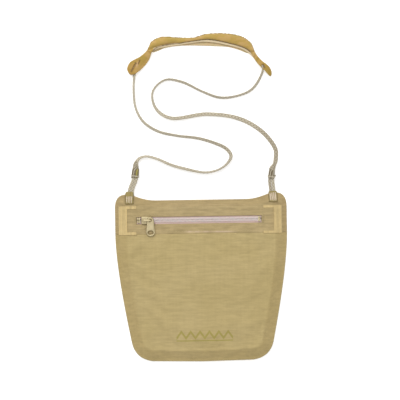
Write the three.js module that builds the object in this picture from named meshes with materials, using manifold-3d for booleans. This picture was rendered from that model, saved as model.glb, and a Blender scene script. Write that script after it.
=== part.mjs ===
// Neck pouch wallet: a flat fabric pouch with one zip compartment, on a braided neck cord that runs
// through a soft neck band. The pouch lies on its back, its front faces +Z and its cord leaves
// towards +Y. The origin is the middle of the pouch's back face, on the surface it lies on.
// Units are millimetres.

import * as THREE from 'three';
import { mergeVertices } from 'three/addons/utils/BufferGeometryUtils.js';
import Module from 'manifold-3d';

const wasm = await Module();
wasm.setup();

// ---------------------------------------------------------------- driving dimensions

const GAP = 0.3; // clearance between pieces that touch

const POUCH = {
  halfWidth: 86, // at the zip, where the pouch is widest
  lowerHalfWidth: 71, // where the bottom corners start
  bottom: -84.2,
  shoulder: 84, // top of the two shoulders
  neckline: 77.8, // top edge between the shoulders
};

const FABRIC = 0.8; // back panel and front panels
const LINING = 0.5; // divider between the zip compartment and the rear pocket
const HEM = 2.5; // flat seam around the pouch
const SLOPE_END = 11.5; // distance from the edge at which the front is fully raised
const TOP_INSET = 0.6; // the top margin is narrower than the side margins by this factor

const DIVIDER_Z = FABRIC + GAP;
const FRONT_HEM_Z = DIVIDER_Z + LINING + GAP + FABRIC; // outer face of the front at the seam
const FRONT_RISE = 4.7; // how far the middle of the front stands above its seam
const FRONT_Z = FRONT_HEM_Z + FRONT_RISE;

const ZIP = {
  y: 58,
  left: -64, // window in the zip panel
  right: 60.4,
  halfWindow: 3.8,
  panelLow: 44.85, // seams above and below the zip panel
  panelHigh: 72.05,
  tapeHalfLength: 72,
  tapeLow: 46.5,
  tapeHigh: 69.3,
  tapeThickness: 0.4,
  tapeSplit: 0.8, // half of the slot between the two tapes
  coilInner: 0.6,
  coilWidth: 1.8,
  coilHeight: 1.2,
  coilStart: -60.2,
  coilEnd: 56.6,
};
const TAPE_Z = FRONT_Z - FABRIC - GAP - ZIP.tapeThickness;
const COIL_Z = TAPE_Z + ZIP.tapeThickness + GAP;

const SLIDER = {
  noseX: -59.6, // wide end, where the open halves of the zip enter
  tailX: -48.2,
  noseHalfWidth: 3.9,
  tailHalfWidth: 3.2,
  plate: 0.9,
  wedge: { x: -58.1, length: 2.4, width: 0.6 },
  flange: { y: 2.7, thickness: 0.7, length: 8.4 },
  postX: -50.4, // bridge post that carries the pull tab
  footX: -57.9, // the bridge's other foot
  postRadius: 0.8,
  bridgeWidth: 1.7,
};
const UPPER_PLATE_Z = COIL_Z + ZIP.coilHeight + GAP;
const LOWER_PLATE_Z = TAPE_Z - GAP - SLIDER.plate - 0.1;

const PULL = {
  length: 19.6,
  eyeFromTop: 3.6,
  topHalfWidth: 3.3,
  endHalfWidth: 4.3,
  thickness: 1,
  eyeRadius: 1.35,
  slotFromTop: 15.8,
  slotHalf: [2.7, 1.7],
  droop: THREE.MathUtils.degToRad(3),
};
const PULL_Z = UPPER_PLATE_Z + SLIDER.plate + GAP;
const BRIDGE_Z = PULL_Z + PULL.thickness + 0.5;

const BRACKET = { inner: 73.5, outer: 82.4, armEnd: 64.2, low: 43.4, high: 72.3, arm: 3, thickness: 0.5 };

const TAB = { width: 8.8, low: 74.6, thickness: 0.9, tack: 0.5, tackInset: 0.85, tackLow: 75.3, tackHigh: 82.4 };

const CORD = { width: 3.6, thickness: 1.6, restZ: 1, strandWidth: 2.6, stepLength: 9.7 };
const KNOT = { length: 13, endRadius: 2.9, waist: 2.8, bulge: 3.4, centreZ: 3.5 };
const BAND = { thickness: 0.8, frontZ: 3.05 };

// Route of the neck cord, from the left knot to the right knot. Each row is x, y and, where the
// cord is lifted off the surface by a knot or by the neck band, z.
const CORD_ROUTE = [
  [-64.2, 114.8, 2.9], [-61.2, 119.9, 1.4], [-54, 122.1], [-43, 119.4], [-28.6, 113],
  [-12, 108.2], [5.7, 105], [18.5, 107.7], [27.4, 113.8], [31.2, 121.4],
  [26.6, 128.4], [14, 134.6], [-2, 139.4], [-22, 142.1], [-42, 147.1], [-56.3, 156.8],
  [-63.6, 170.5], [-65.4, 187], [-64.4, 203.5], [-61.6, 213.2, 1.1], [-54, 221.6, 1.7],
  [-42, 229.2, 1.95], [-18.2, 233.8, 1.95], [7.2, 236.8, 1.95], [30, 232.9, 1.95],
  [46, 228, 1.95], [56.9, 219.6, 1.7], [64.3, 209.7, 1.1], [62.2, 200.6], [52.8, 187.3],
  [38, 181.1], [21, 179.7], [3, 186.2], [-17, 196], [-34, 198.2], [-46.3, 186.6],
  [-43.5, 170.1], [-29.5, 160.2], [8, 163.4], [40, 158.4], [63, 144.7],
  [75.8, 127.4], [75.3, 116.4, 1.6], [72.4, 111.8, 2.9],
];

// Each side's cord end: the knot and the two strands between it and the pouch.
const CORD_ENDS = {
  left: {
    tabX: -71.1,
    tabEnd: 86.8,
    knot: [-65.3, 107.2],
    lean: THREE.MathUtils.degToRad(-8.4),
    strands: [[[-67.6, 87.2], [-64.8, 100.3]], [[-71.2, 87.2], [-67.9, 100.7]]],
  },
  right: {
    tabX: 72.3,
    tabEnd: 85.4,
    knot: [71.8, 104.2],
    lean: 0,
    strands: [[[70.2, 85.8], [70.1, 97.3]], [[73.7, 85.8], [73.5, 97.3]]],
  },
};

// Corner points of the two layers of the neck band, which are smoothed by a closed spline.
const BAND_FRONT = [
  [-46.8, 225.4], [-43, 229.8], [-34, 232.9], [-18, 234.9], [0, 237.4], [9, 238.2], [18, 237.1],
  [33, 233.5], [46, 229.3], [52, 225.2], [54.5, 220], [60, 211.8], [66.5, 205.3], [71.8, 200.2],
  [73.2, 203.5], [70.8, 209.6], [64, 215.3], [58.4, 221.8], [56.1, 226.5], [53.5, 233.5],
  [46.5, 239.4], [36, 243], [17, 244.4], [6, 243.5], [-4, 240.6], [-20, 240.8], [-38, 241.4],
  [-47.5, 236.2], [-51.5, 228], [-59, 221.6], [-68, 217], [-71.6, 210], [-68.4, 203.9],
  [-63.2, 204.7], [-53.5, 213.2], [-48.9, 219.6],
];
const BAND_BACK = [
  [-45.5, 226.2], [-34, 230.2], [-19, 232.3], [0, 232.2], [18, 231.3], [31, 230.2], [42, 226.8],
  [51.5, 223.8], [54, 229], [47, 237.2], [33, 241.8], [12, 242.8], [-4, 239.2], [-22, 239.4],
  [-38, 239.9], [-46, 234.5], [-48.6, 229],
];
// Slits in the band's tails that the cord is threaded through: centre, half length and width, angle.
const BAND_SLITS = [
  { at: [-65, 211.4], half: [4.6, 0.7], angle: THREE.MathUtils.degToRad(61) },
  { at: [-59.4, 216.3], half: [1.9, 0.6], angle: THREE.MathUtils.degToRad(66) },
  { at: [65.4, 210], half: [1.9, 0.7], angle: THREE.MathUtils.degToRad(-60) },
];

// ---------------------------------------------------------------- materials

const COLOURS = {
  fabric: { color: 0xbaa675, roughness: 0.9, metalness: 0 },
  lining: { color: 0xc9b993, roughness: 0.9, metalness: 0 },
  bracket: { color: 0xd6be8a, roughness: 0.85, metalness: 0 },
  tape: { color: 0xc8b4af, roughness: 0.8, metalness: 0 },
  coil: { color: 0xcfc0bb, roughness: 0.45, metalness: 0 },
  metal: { color: 0xd0c29a, roughness: 0.35, metalness: 0.8 },
  thread: { color: 0xded0b8, roughness: 0.7, metalness: 0 },
  cord: { color: 0xc5baa7, roughness: 0.8, metalness: 0 },
  band: { color: 0xb69c60, roughness: 0.95, metalness: 0 },
};

const group = new THREE.Group();

function add(name, geometry, look) {
  const mesh = new THREE.Mesh(geometry, new THREE.MeshStandardMaterial(COLOURS[look]));
  mesh.name = name;
  group.add(mesh);
  return mesh;
}

// ---------------------------------------------------------------- solids

function toManifold(geometry) {
  const plain = geometry.clone();
  plain.deleteAttribute('normal');
  plain.deleteAttribute('uv');
  const merged = mergeVertices(plain, 1e-4);
  return new wasm.Manifold(
    new wasm.Mesh({
      numProp: 3,
      vertProperties: new Float32Array(merged.attributes.position.array),
      triVerts: new Uint32Array(merged.index.array),
    }),
  );
}

function fromManifold(solid) {
  const { vertProperties, triVerts } = solid.getMesh();
  const geometry = new THREE.BufferGeometry();
  geometry.setAttribute('position', new THREE.BufferAttribute(vertProperties, 3));
  geometry.setIndex(new THREE.BufferAttribute(triVerts, 1));
  geometry.computeVertexNormals();
  return geometry;
}

function box([x0, x1], [y0, y1], [z0, z1]) {
  const geometry = new THREE.BoxGeometry(x1 - x0, y1 - y0, z1 - z0);
  return geometry.translate((x0 + x1) / 2, (y0 + y1) / 2, (z0 + z1) / 2);
}

function plate(shape, bottom, thickness, curveSegments = 8) {
  const geometry = new THREE.ExtrudeGeometry(shape, {
    depth: thickness,
    bevelEnabled: false,
    curveSegments,
  });
  return geometry.translate(0, 0, bottom);
}

// Half of the pouch's outline from the middle of the bottom edge to the middle of the top edge,
// moved inwards by inset.
function pouchHalf(inset) {
  const side = POUCH.halfWidth - inset;
  const low = POUCH.lowerHalfWidth - inset;
  const drop = TOP_INSET * inset;
  const shoulder = POUCH.shoulder - drop;
  const neckline = POUCH.neckline - drop;
  const path = new THREE.Path();
  path.moveTo(0, POUCH.bottom + inset);
  path.lineTo(50, POUCH.bottom + 1 + inset);
  path.quadraticCurveTo(67.5 - 0.9 * inset, POUCH.bottom + 3.2 + 0.9 * inset, low, -64.5);
  path.quadraticCurveTo(side, 10, side, 45);
  path.lineTo(side, 70 - drop);
  path.quadraticCurveTo(side, shoulder + 0.6, 74 - inset, shoulder);
  path.bezierCurveTo(66 - drop, shoulder, 60 - drop / 2, neckline, 44, neckline);
  path.lineTo(0, neckline);
  return path.getPoints(8);
}

function pouchOutline(inset) {
  const half = pouchHalf(inset);
  const mirrored = half.slice(1, -1).reverse().map((p) => new THREE.Vector2(-p.x, p.y));
  return [...half, ...mirrored];
}

// Height of the front's outer face at a distance from the pouch's edge.
function frontHeight(inset) {
  const t = THREE.MathUtils.clamp((inset - HEM) / (SLOPE_END - HEM), 0, 1);
  return FRONT_HEM_Z + FRONT_RISE * (1.2 * t - 0.2 * t ** 3);
}

// One closed body from a stack of outlines with the same number of points, capped at both ends.
function loft(rings) {
  const count = rings[0].points.length;
  const positions = rings.flatMap(({ points, z }) => points.flatMap((p) => [p.x, p.y, z]));
  const index = [];
  for (let ring = 0; ring + 1 < rings.length; ring += 1) {
    for (let i = 0; i < count; i += 1) {
      const a = ring * count + i;
      const b = ring * count + ((i + 1) % count);
      index.push(a, a + count, b, b, a + count, b + count);
    }
  }
  const last = (rings.length - 1) * count;
  for (const [a, b, c] of THREE.ShapeUtils.triangulateShape(rings[0].points, [])) {
    index.push(a, b, c);
  }
  for (const [a, b, c] of THREE.ShapeUtils.triangulateShape(rings.at(-1).points, [])) {
    index.push(last + a, last + c, last + b);
  }
  const geometry = new THREE.BufferGeometry();
  geometry.setAttribute('position', new THREE.Float32BufferAttribute(positions, 3));
  geometry.setIndex(index);
  return geometry;
}

// A lid that follows the front's outer face, between two distances above it.
function frontLid(under, over) {
  const insets = [SLOPE_END, 9.2, 6.9, 4.6, HEM, 0];
  const top = insets.map((d) => ({ points: pouchOutline(d), z: frontHeight(d) + over }));
  const bottom = insets.map((d) => ({ points: pouchOutline(d), z: frontHeight(d) + under }));
  return toManifold(loft([...top, ...bottom.reverse()]));
}

const WIDE = [-200, 200];
const TALL = [-10, 60];

function strip(lid, low, high) {
  return lid.intersect(toManifold(box(WIDE, [low, high], TALL)));
}

// ---------------------------------------------------------------- pouch body

function addPouch() {
  const backShape = new THREE.Shape(pouchOutline(0));
  add('back_panel', plate(backShape, 0, FABRIC), 'fabric');
  add('inner_divider', plate(new THREE.Shape(pouchOutline(1)), DIVIDER_Z, LINING), 'lining');

  const front = frontLid(-FABRIC, 0);
  const seam = GAP / 2;
  add('front_panel', fromManifold(strip(front, -100, ZIP.panelLow - seam)), 'fabric');
  add('top_yoke', fromManifold(strip(front, ZIP.panelHigh + seam, 100)), 'fabric');

  const zipWindow = box(
    [ZIP.left, ZIP.right],
    [ZIP.y - ZIP.halfWindow, ZIP.y + ZIP.halfWindow],
    TALL,
  );
  const zipPanel = strip(front, ZIP.panelLow + seam, ZIP.panelHigh - seam);
  add('zip_panel', fromManifold(zipPanel.subtract(toManifold(zipWindow))), 'fabric');
}

// Light tape around each end of the zip, shaped like a square bracket.
function addBrackets() {
  const { inner, outer, armEnd, low, high, arm, thickness } = BRACKET;
  const outline = [
    [armEnd, low], [outer, low], [outer, high], [armEnd, high],
    [armEnd, high - arm], [inner, high - arm], [inner, low + arm], [armEnd, low + arm],
  ];
  const skin = frontLid(GAP, GAP + thickness);
  for (const [name, side] of [['zip_bracket_left', -1], ['zip_bracket_right', 1]]) {
    const shape = new THREE.Shape(outline.map(([x, y]) => new THREE.Vector2(side * x, y)));
    const prism = toManifold(plate(shape, TALL[0], TALL[1] - TALL[0]));
    add(name, fromManifold(skin.intersect(prism)), 'bracket');
  }
}

// Folded tape that holds the cord at each shoulder, and the bar tack that sews it down.
function addCordTabs() {
  const tabSkin = frontLid(GAP, GAP + TAB.thickness);
  const tackUnder = GAP + TAB.thickness + GAP;
  const tackSkin = frontLid(tackUnder, tackUnder + TAB.tack);
  const tabTop = FRONT_HEM_Z + GAP + TAB.thickness;
  for (const [side, { tabX, tabEnd }] of Object.entries(CORD_ENDS)) {
    const across = [tabX - TAB.width / 2, tabX + TAB.width / 2];
    const sewn = tabSkin.intersect(toManifold(box(across, [TAB.low, 90], TALL)));
    const overhang = toManifold(box(across, [POUCH.shoulder - 1.2, tabEnd], [FRONT_HEM_Z + GAP, tabTop]));
    const fold = toManifold(box(across, [POUCH.shoulder + 0.7, tabEnd], [DIVIDER_Z, tabTop]));
    add(`cord_tab_${side}`, fromManifold(sewn.add(overhang).add(fold)), 'fabric');

    const tackAcross = [across[0] + TAB.tackInset, across[1] - TAB.tackInset];
    const tack = toManifold(box(tackAcross, [TAB.tackLow, TAB.tackHigh], TALL));
    add(`bar_tack_${side}`, fromManifold(tackSkin.intersect(tack)), 'thread');
  }
}

// ---------------------------------------------------------------- zip

// A box with its two upper long edges cut back, for the coil halves and the stops.
function roundedBar([x0, x1], [y0, y1], z0, height) {
  const cut = Math.min(y1 - y0, height) * 0.3;
  const section = new THREE.Shape([
    new THREE.Vector2(y0, z0),
    new THREE.Vector2(y1, z0),
    new THREE.Vector2(y1, z0 + height - cut),
    new THREE.Vector2(y1 - cut, z0 + height),
    new THREE.Vector2(y0 + cut, z0 + height),
    new THREE.Vector2(y0, z0 + height - cut),
  ]);
  const bar = new THREE.ExtrudeGeometry(section, { depth: x1 - x0, bevelEnabled: false });
  const axes = new THREE.Matrix4().makeBasis(
    new THREE.Vector3(0, 1, 0),
    new THREE.Vector3(0, 0, 1),
    new THREE.Vector3(1, 0, 0),
  );
  return bar.applyMatrix4(axes).translate(x0, 0, 0);
}

// A stretch across the zip, given by its nearest and furthest distance from the zip's centre line.
function fromCentre(side, near, far) {
  const ends = [ZIP.y + side * near, ZIP.y + side * far];
  return ends.sort((a, b) => a - b);
}

function addZip() {
  const tapeLength = [-ZIP.tapeHalfLength, ZIP.tapeHalfLength];
  const tapeZ = [TAPE_Z, TAPE_Z + ZIP.tapeThickness];
  const lowTape = [ZIP.tapeLow, ZIP.y - ZIP.tapeSplit];
  const highTape = [ZIP.y + ZIP.tapeSplit, ZIP.tapeHigh];
  add('zip_tape_lower', box(tapeLength, lowTape, tapeZ), 'tape');
  add('zip_tape_upper', box(tapeLength, highTape, tapeZ), 'tape');

  for (const [name, side] of [['lower', -1], ['upper', 1]]) {
    const coil = fromCentre(side, ZIP.coilInner, ZIP.coilInner + ZIP.coilWidth);
    const coilLength = [ZIP.coilStart, ZIP.coilEnd];
    add(`zip_coil_${name}`, roundedBar(coilLength, coil, COIL_Z, ZIP.coilHeight), 'coil');
    const stop = fromCentre(side, 0.45, 2.75);
    add(`top_stop_${name}`, roundedBar([-63.6, -60.6], stop, COIL_Z, 1.7), 'metal');
  }
  const bottomStop = [ZIP.y - 2.6, ZIP.y + 2.6];
  add('bottom_stop', roundedBar([57, 59.2], bottomStop, COIL_Z, 1.7), 'metal');

  const tackZ = FRONT_Z + GAP;
  for (const [name, x] of [['zip_tack_left', -65.3], ['zip_tack_right', 61.9]]) {
    add(name, roundedBar([x - 0.7, x + 0.7], [ZIP.y - 4.2, ZIP.y + 4.2], tackZ, 0.5), 'thread');
  }
}

// Slider body: two plates joined by a wedge, and two flanges that straddle the coil.
function addSliderBody() {
  const { noseX, tailX, noseHalfWidth, tailHalfWidth, plate: thickness, wedge, flange } = SLIDER;
  const shape = new THREE.Shape();
  shape.moveTo(noseX + 1.2, ZIP.y - noseHalfWidth);
  shape.lineTo(noseX + 4.6, ZIP.y - noseHalfWidth);
  shape.lineTo(tailX - 1.4, ZIP.y - tailHalfWidth);
  shape.quadraticCurveTo(tailX, ZIP.y - tailHalfWidth, tailX, ZIP.y - tailHalfWidth + 1.4);
  shape.lineTo(tailX, ZIP.y + tailHalfWidth - 1.4);
  shape.quadraticCurveTo(tailX, ZIP.y + tailHalfWidth, tailX - 1.4, ZIP.y + tailHalfWidth);
  shape.lineTo(noseX + 4.6, ZIP.y + noseHalfWidth);
  shape.lineTo(noseX + 1.2, ZIP.y + noseHalfWidth);
  shape.quadraticCurveTo(noseX, ZIP.y + noseHalfWidth, noseX, ZIP.y + noseHalfWidth - 1.2);
  shape.lineTo(noseX, ZIP.y - noseHalfWidth + 1.2);
  shape.quadraticCurveTo(noseX, ZIP.y - noseHalfWidth, noseX + 1.2, ZIP.y - noseHalfWidth);

  const upper = toManifold(plate(shape, UPPER_PLATE_Z, thickness, 4));
  const lower = toManifold(plate(shape, LOWER_PLATE_Z, thickness, 4));
  const wedgeX = [wedge.x - wedge.length / 2, wedge.x + wedge.length / 2];
  const wedgeY = [ZIP.y - wedge.width / 2, ZIP.y + wedge.width / 2];
  const wedgeZ = [LOWER_PLATE_Z + thickness / 2, UPPER_PLATE_Z + thickness / 2];
  let body = upper.add(lower).add(toManifold(box(wedgeX, wedgeY, wedgeZ)));
  for (const side of [-1, 1]) {
    const y = fromCentre(side, flange.y, flange.y + flange.thickness);
    const x = [tailX - 0.6 - flange.length, tailX - 0.6];
    body = body.add(toManifold(box(x, y, [COIL_Z, UPPER_PLATE_Z + thickness / 2])));
  }
  return add('slider_body', fromManifold(body), 'metal');
}

// Bridge over the slider: an arch whose round post passes through the pull tab's eye.
function addSliderBridge() {
  const base = UPPER_PLATE_Z + SLIDER.plate + GAP;
  const halfWidth = SLIDER.bridgeWidth / 2;
  const across = [ZIP.y - halfWidth, ZIP.y + halfWidth];
  const top = BRIDGE_Z + 1.1;
  const foot = toManifold(box([SLIDER.footX - 0.8, SLIDER.footX + 0.6], across, [base, BRIDGE_Z + 0.5]));
  const bar = roundedBar([SLIDER.footX - 0.8, SLIDER.postX + 1], across, BRIDGE_Z, top - BRIDGE_Z);
  const postHeight = BRIDGE_Z + 0.5 - base;
  const post = new THREE.CylinderGeometry(SLIDER.postRadius, SLIDER.postRadius, postHeight, 12);
  post.rotateX(Math.PI / 2).translate(SLIDER.postX, ZIP.y, base + postHeight / 2);
  add('slider_bridge', fromManifold(foot.add(toManifold(bar)).add(toManifold(post))), 'metal');
}

// Pull tab: a tapered plate with a round eye on the bridge post and an oval hole near its free end.
// It is drawn around its eye and hangs towards -Y.
function addPullTab() {
  const { length, eyeFromTop, topHalfWidth: w, endHalfWidth: e, thickness } = PULL;
  const free = eyeFromTop - length;
  const shape = new THREE.Shape();
  shape.absarc(0, 0, w, 0, Math.PI, false);
  shape.lineTo(-e, free + e);
  shape.absarc(0, free + e, e, Math.PI, 2 * Math.PI, false);
  shape.closePath();
  const eye = new THREE.Path();
  eye.absarc(0, 0, PULL.eyeRadius, 0, 2 * Math.PI, true);
  const slot = new THREE.Path();
  slot.absellipse(0, eyeFromTop - PULL.slotFromTop, ...PULL.slotHalf, 0, 2 * Math.PI, true);
  shape.holes.push(eye, slot);
  const tab = add('pull_tab', plate(shape, 0, thickness, 10), 'metal');
  tab.rotation.x = PULL.droop;
  tab.position.set(SLIDER.postX, ZIP.y, PULL_Z + 0.15);
}

// ---------------------------------------------------------------- cord

// Flat eight-sided section. The first axis of an extruded path's frame is vertical here.
function cordSection(width, thickness) {
  const [t, w] = [thickness / 2, width / 2];
  const corners = [[t, -w + t], [t, w - t], [t / 2, w], [-t / 2, w], [-t, w - t], [-t, -w + t], [-t / 2, -w], [t / 2, -w]];
  return new THREE.Shape(corners.map(([x, y]) => new THREE.Vector2(x, y)));
}

function cordTube(points, width, thickness) {
  const corners = points.map(([x, y, z = CORD.restZ]) => new THREE.Vector3(x, y, z));
  const path = new THREE.CatmullRomCurve3(corners);
  const steps = Math.max(2, Math.round(path.getLength() / CORD.stepLength));
  return new THREE.ExtrudeGeometry(cordSection(width, thickness), { steps, extrudePath: path });
}

function addCord() {
  add('neck_cord', cordTube(CORD_ROUTE, CORD.width, CORD.thickness), 'cord');
  const strandNames = ['inner', 'outer'];
  for (const [side, { knot, lean, strands }] of Object.entries(CORD_ENDS)) {
    strands.forEach(([low, high], i) => {
      const middle = [(low[0] + high[0]) / 2, (low[1] + high[1]) / 2, 2.7];
      const route = [[...low, 2.5], middle, [...high, 3.1]];
      add(`cord_strand_${side}_${strandNames[i]}`, cordTube(route, CORD.strandWidth, CORD.thickness), 'cord');
    });
    const half = KNOT.length / 2;
    const profile = [
      [0, -half], [KNOT.endRadius, -half], [KNOT.bulge, -half * 0.5], [KNOT.waist, 0],
      [KNOT.bulge, half * 0.5], [KNOT.endRadius * 0.8, half], [0, half],
    ];
    const lathe = new THREE.LatheGeometry(profile.map(([r, y]) => new THREE.Vector2(r, y)), 14);
    const mesh = add(`cord_knot_${side}`, lathe, 'cord');
    mesh.rotation.z = lean;
    mesh.position.set(...knot, KNOT.centreZ);
  }
}

// ---------------------------------------------------------------- neck band

function smoothShape(corners) {
  const points = corners.map(([x, y]) => new THREE.Vector3(x, y, 0));
  const outline = new THREE.CatmullRomCurve3(points, true).getPoints(corners.length * 2);
  return new THREE.Shape(outline.slice(0, -1).map((p) => new THREE.Vector2(p.x, p.y)));
}

function addNeckBand() {
  const front = smoothShape(BAND_FRONT);
  for (const { at, half, angle } of BAND_SLITS) {
    const slit = new THREE.Path();
    slit.absellipse(...at, ...half, 0, 2 * Math.PI, true, angle);
    front.holes.push(slit);
  }
  add('neck_band_front', plate(front, BAND.frontZ, BAND.thickness, 4), 'band');
  add('neck_band_back', plate(smoothShape(BAND_BACK), 0, BAND.thickness), 'band');
}

addPouch();
addBrackets();
addCordTabs();
addZip();
addSliderBody();
addSliderBridge();
addPullTab();
addCord();
addNeckBand();

export default group;
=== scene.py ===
"""Looks of the neck pouch wallet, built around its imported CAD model.

The pouch lies on its back with its front facing +Z. Sizes here are in millimetres and are turned
into metres where a mesh is made. Every piece is made where its CAD node is.
"""

import math

import bpy
import numpy as np
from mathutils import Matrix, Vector, noise
from mathutils.bvhtree import BVHTree
from mathutils.geometry import delaunay_2d_cdt


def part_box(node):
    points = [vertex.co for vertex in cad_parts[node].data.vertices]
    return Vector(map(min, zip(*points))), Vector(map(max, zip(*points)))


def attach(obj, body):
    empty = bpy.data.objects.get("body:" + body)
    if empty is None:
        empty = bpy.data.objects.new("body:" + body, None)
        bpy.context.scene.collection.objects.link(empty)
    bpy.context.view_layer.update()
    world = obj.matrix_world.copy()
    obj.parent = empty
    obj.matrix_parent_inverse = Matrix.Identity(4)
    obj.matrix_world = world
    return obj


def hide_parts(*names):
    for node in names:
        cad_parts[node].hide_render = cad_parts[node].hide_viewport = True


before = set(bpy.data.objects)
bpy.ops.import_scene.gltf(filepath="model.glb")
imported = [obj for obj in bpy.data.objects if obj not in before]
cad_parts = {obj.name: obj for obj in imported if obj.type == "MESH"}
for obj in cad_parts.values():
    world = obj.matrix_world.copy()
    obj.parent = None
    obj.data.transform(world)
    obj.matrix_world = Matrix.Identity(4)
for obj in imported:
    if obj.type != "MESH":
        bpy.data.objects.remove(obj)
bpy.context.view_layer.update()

MM = 0.001
TAU = 2 * math.pi


def box_mm(node):
    """Lowest and highest corner of a CAD node, in millimetres."""
    low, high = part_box(node)
    return np.array(low) / MM, np.array(high) / MM


# ---------------------------------------------------------------- sizes

POUCH_LOW, POUCH_HIGH = box_mm("back_panel")
HALF_WIDTH = POUCH_HIGH[0]
BOTTOM = POUCH_LOW[1]
SHOULDER = POUCH_HIGH[1]
LOWER_HALF_WIDTH = 71.0  # where the bottom corners start
NECKLINE = 77.8  # top edge between the shoulders
TOP_INSET = 0.6  # the top margin is narrower than the side margins by this factor
HEM = 2.5
SLOPE_END = 11.5
FABRIC = 0.8

PANEL_LOW, PANEL_HIGH = box_mm("zip_panel")
FRONT_TOP = PANEL_HIGH[2]  # outer face of the front in the middle
HEM_TOP = 2.7  # outer face of the front at its seam
SEAM_LOW = (box_mm("front_panel")[1][1] + PANEL_LOW[1]) / 2
SEAM_HIGH = (box_mm("top_yoke")[0][1] + PANEL_HIGH[1]) / 2
WINDOW_LEFT = -64.0
WINDOW_RIGHT = 60.4
WINDOW_HALF = 3.5
ZIP_Y = (box_mm("zip_coil_lower")[0][1] + box_mm("zip_coil_upper")[1][1]) / 2

SHADED_MARGIN = 11.0  # band along the edge where painted shade darkens the front's sloping border
FOLDS_FROM = 44.5  # the lower front's long folds hang from here

# Route of the neck cord from the left knot to the right knot: x, y and, where the cord is lifted,
# z. It is the CAD model's, but moved by up to 3 mm in the neck band and at the right knot.
CORD_REST = 1.0
CORD_ROUTE = [
    (-64.2, 114.8, 2.9), (-61.2, 119.9, 1.4), (-54, 122.1), (-43, 119.4), (-28.6, 113),
    (-12, 108.2), (5.7, 105), (18.5, 107.7), (27.4, 113.8), (31.2, 121.4),
    (26.6, 128.4), (14, 134.6), (-2, 139.4), (-22, 142.1), (-42, 147.1), (-56.3, 156.8),
    (-63.6, 170.5), (-65.4, 187), (-64.4, 203.5), (-61.6, 213.2, 1.1), (-54, 222.2, 1.7),
    (-43, 230.7, 1.8), (-31, 233.3, 1.8), (-18.2, 235, 1.8), (7.2, 237.7, 1.8), (30, 233.9, 1.8),
    (46.2, 228.8, 1.8), (56.9, 219.8, 1.7), (64.3, 209.7, 1.1), (62.2, 200.6), (52.8, 187.3),
    (38, 181.1), (21, 179.7), (3, 186.2), (-17, 196), (-34, 198.2), (-46.3, 186.6),
    (-43.5, 170.1), (-29.5, 160.2), (8, 163.4), (40, 158.4), (63, 144.7),
    (75.8, 127.4), (76.1, 119.4), (75.6, 115.2, 1.6), (74.2, 111.6, 2.9),
]
CORD_WIDTH = 4.4
CORD_THICKNESS = 1.5
ROUNDNESS = 1.56  # power that gives the braid's rounded edges when it is seen at an angle
# How broad the cord looks from above at distances along its route, because it rolls on its edge.
CORD_SHOWN = [
    (0, 4.1), (3, 3.9), (7, 2.7), (10, 2.4), (30, 2.8), (55, 3.2), (72, 2.5), (95, 2.2), (112, 3.8),
    (130, 3.2), (165, 2.6), (200, 2.9), (225, 2.5), (252, 2.4), (260, 4.0), (396, 4.0), (402, 1.8),
    (412, 2.4), (428, 2.8), (450, 2.2), (470, 2.6), (492, 2.2), (508, 2.7), (521, 2.2), (532, 1.9),
    (550, 2.2), (565, 3.4), (600, 4.0), (640, 4.1), (652, 4.4), (713, 4.4),
]
STRAND_WIDTH = 3.05

# Where the cord comes up beside a slit of the band, x and y, and by how much.
CORD_SHOWS_AT = np.array([64.3, 209.9])
CORD_RISE = 2.0

# The cord runs inside the band above BAND_FROM and between BAND_ENDS. FLAP_FROM and FLAP_ENDS
# bound the band's flap in the same way.
BAND_FROM = 205
BAND_ENDS = (-56, 60)
FLAP_FROM = 224.6
FLAP_ENDS = (-52.0, 56.4)
LEAST_SHARE = 0.301  # least area of a curved strip, as a share of its box

# Where each side's cord meets the pouch: the two strands between the tab and the knot.
CORD_ENDS = {
    "left": {"lean": -4, "shift": 0.6, "inner": (-68.1, 84.6), "outer": (-71.2, 84.6)},
    "right": {"lean": -7, "shift": -0.2, "inner": (70.3, 83.2), "outer": (73.4, 83.2)},
}

# Half widths of each knot at distances along it, from the pouch's side to the cord's, and the
# spacing of the points along it.
KNOT_SPACING = 0.35
KNOT_SHAPE = {
    "left": [(0, 3.1), (1.4, 3.8), (3.2, 4.0), (8, 3.9), (10, 3.3), (12.6, 2.9), (16.6, 2.1)],
    "right": [(0, 3.2), (2, 3.5), (5, 3.4), (9, 3.3), (11, 3.0), (14.4, 2.1)],
}


# ---------------------------------------------------------------- camera and light

def add_object(name, data):
    made = bpy.data.objects.new(name, data)
    bpy.context.scene.collection.objects.link(made)
    return made


def make_camera():
    """Camera straight above the object, turned a little."""
    data = bpy.data.cameras.new("camera")
    distance = 1.4
    field = 0.4
    data.sensor_width = 36
    data.lens = data.sensor_width * distance / field
    data.clip_start = 0.05
    data.clip_end = 20
    camera = add_object("camera", data)
    camera.location = (-0.63 * MM, 77.5 * MM, distance + 4 * MM)
    camera.rotation_euler = (0, 0, math.radians(-0.9))
    bpy.context.scene.camera = camera


def area_light(name, place, size, power):
    """A round light that points at the middle of the object."""
    data = bpy.data.lights.new(name, "AREA")
    data.shape = "DISK"
    data.size = size
    data.energy = power
    light = add_object(name, data)
    light.location = place
    direction = Vector((0, 0.08, 0)) - Vector(place)
    light.rotation_euler = direction.to_track_quat("-Z", "Y").to_euler()


def make_light():
    """Soft white studio light from all around, a broad key light from the top and a weaker one."""
    world = bpy.data.worlds.new("studio")
    world.use_nodes = True
    background = world.node_tree.nodes["Background"]
    background.inputs["Color"].default_value = (1, 1, 1, 1)
    background.inputs["Strength"].default_value = 0.64
    bpy.context.scene.world = world
    area_light("key_light", (-0.35, 0.95, 1.15), 0.7, 11.3)
    area_light("fill_light", (0.7, -0.6, 1.7), 1.2, 5.2)
    bpy.context.scene.view_settings.view_transform = "Standard"
    bpy.context.scene.view_settings.look = "None"


# ---------------------------------------------------------------- materials

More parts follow.
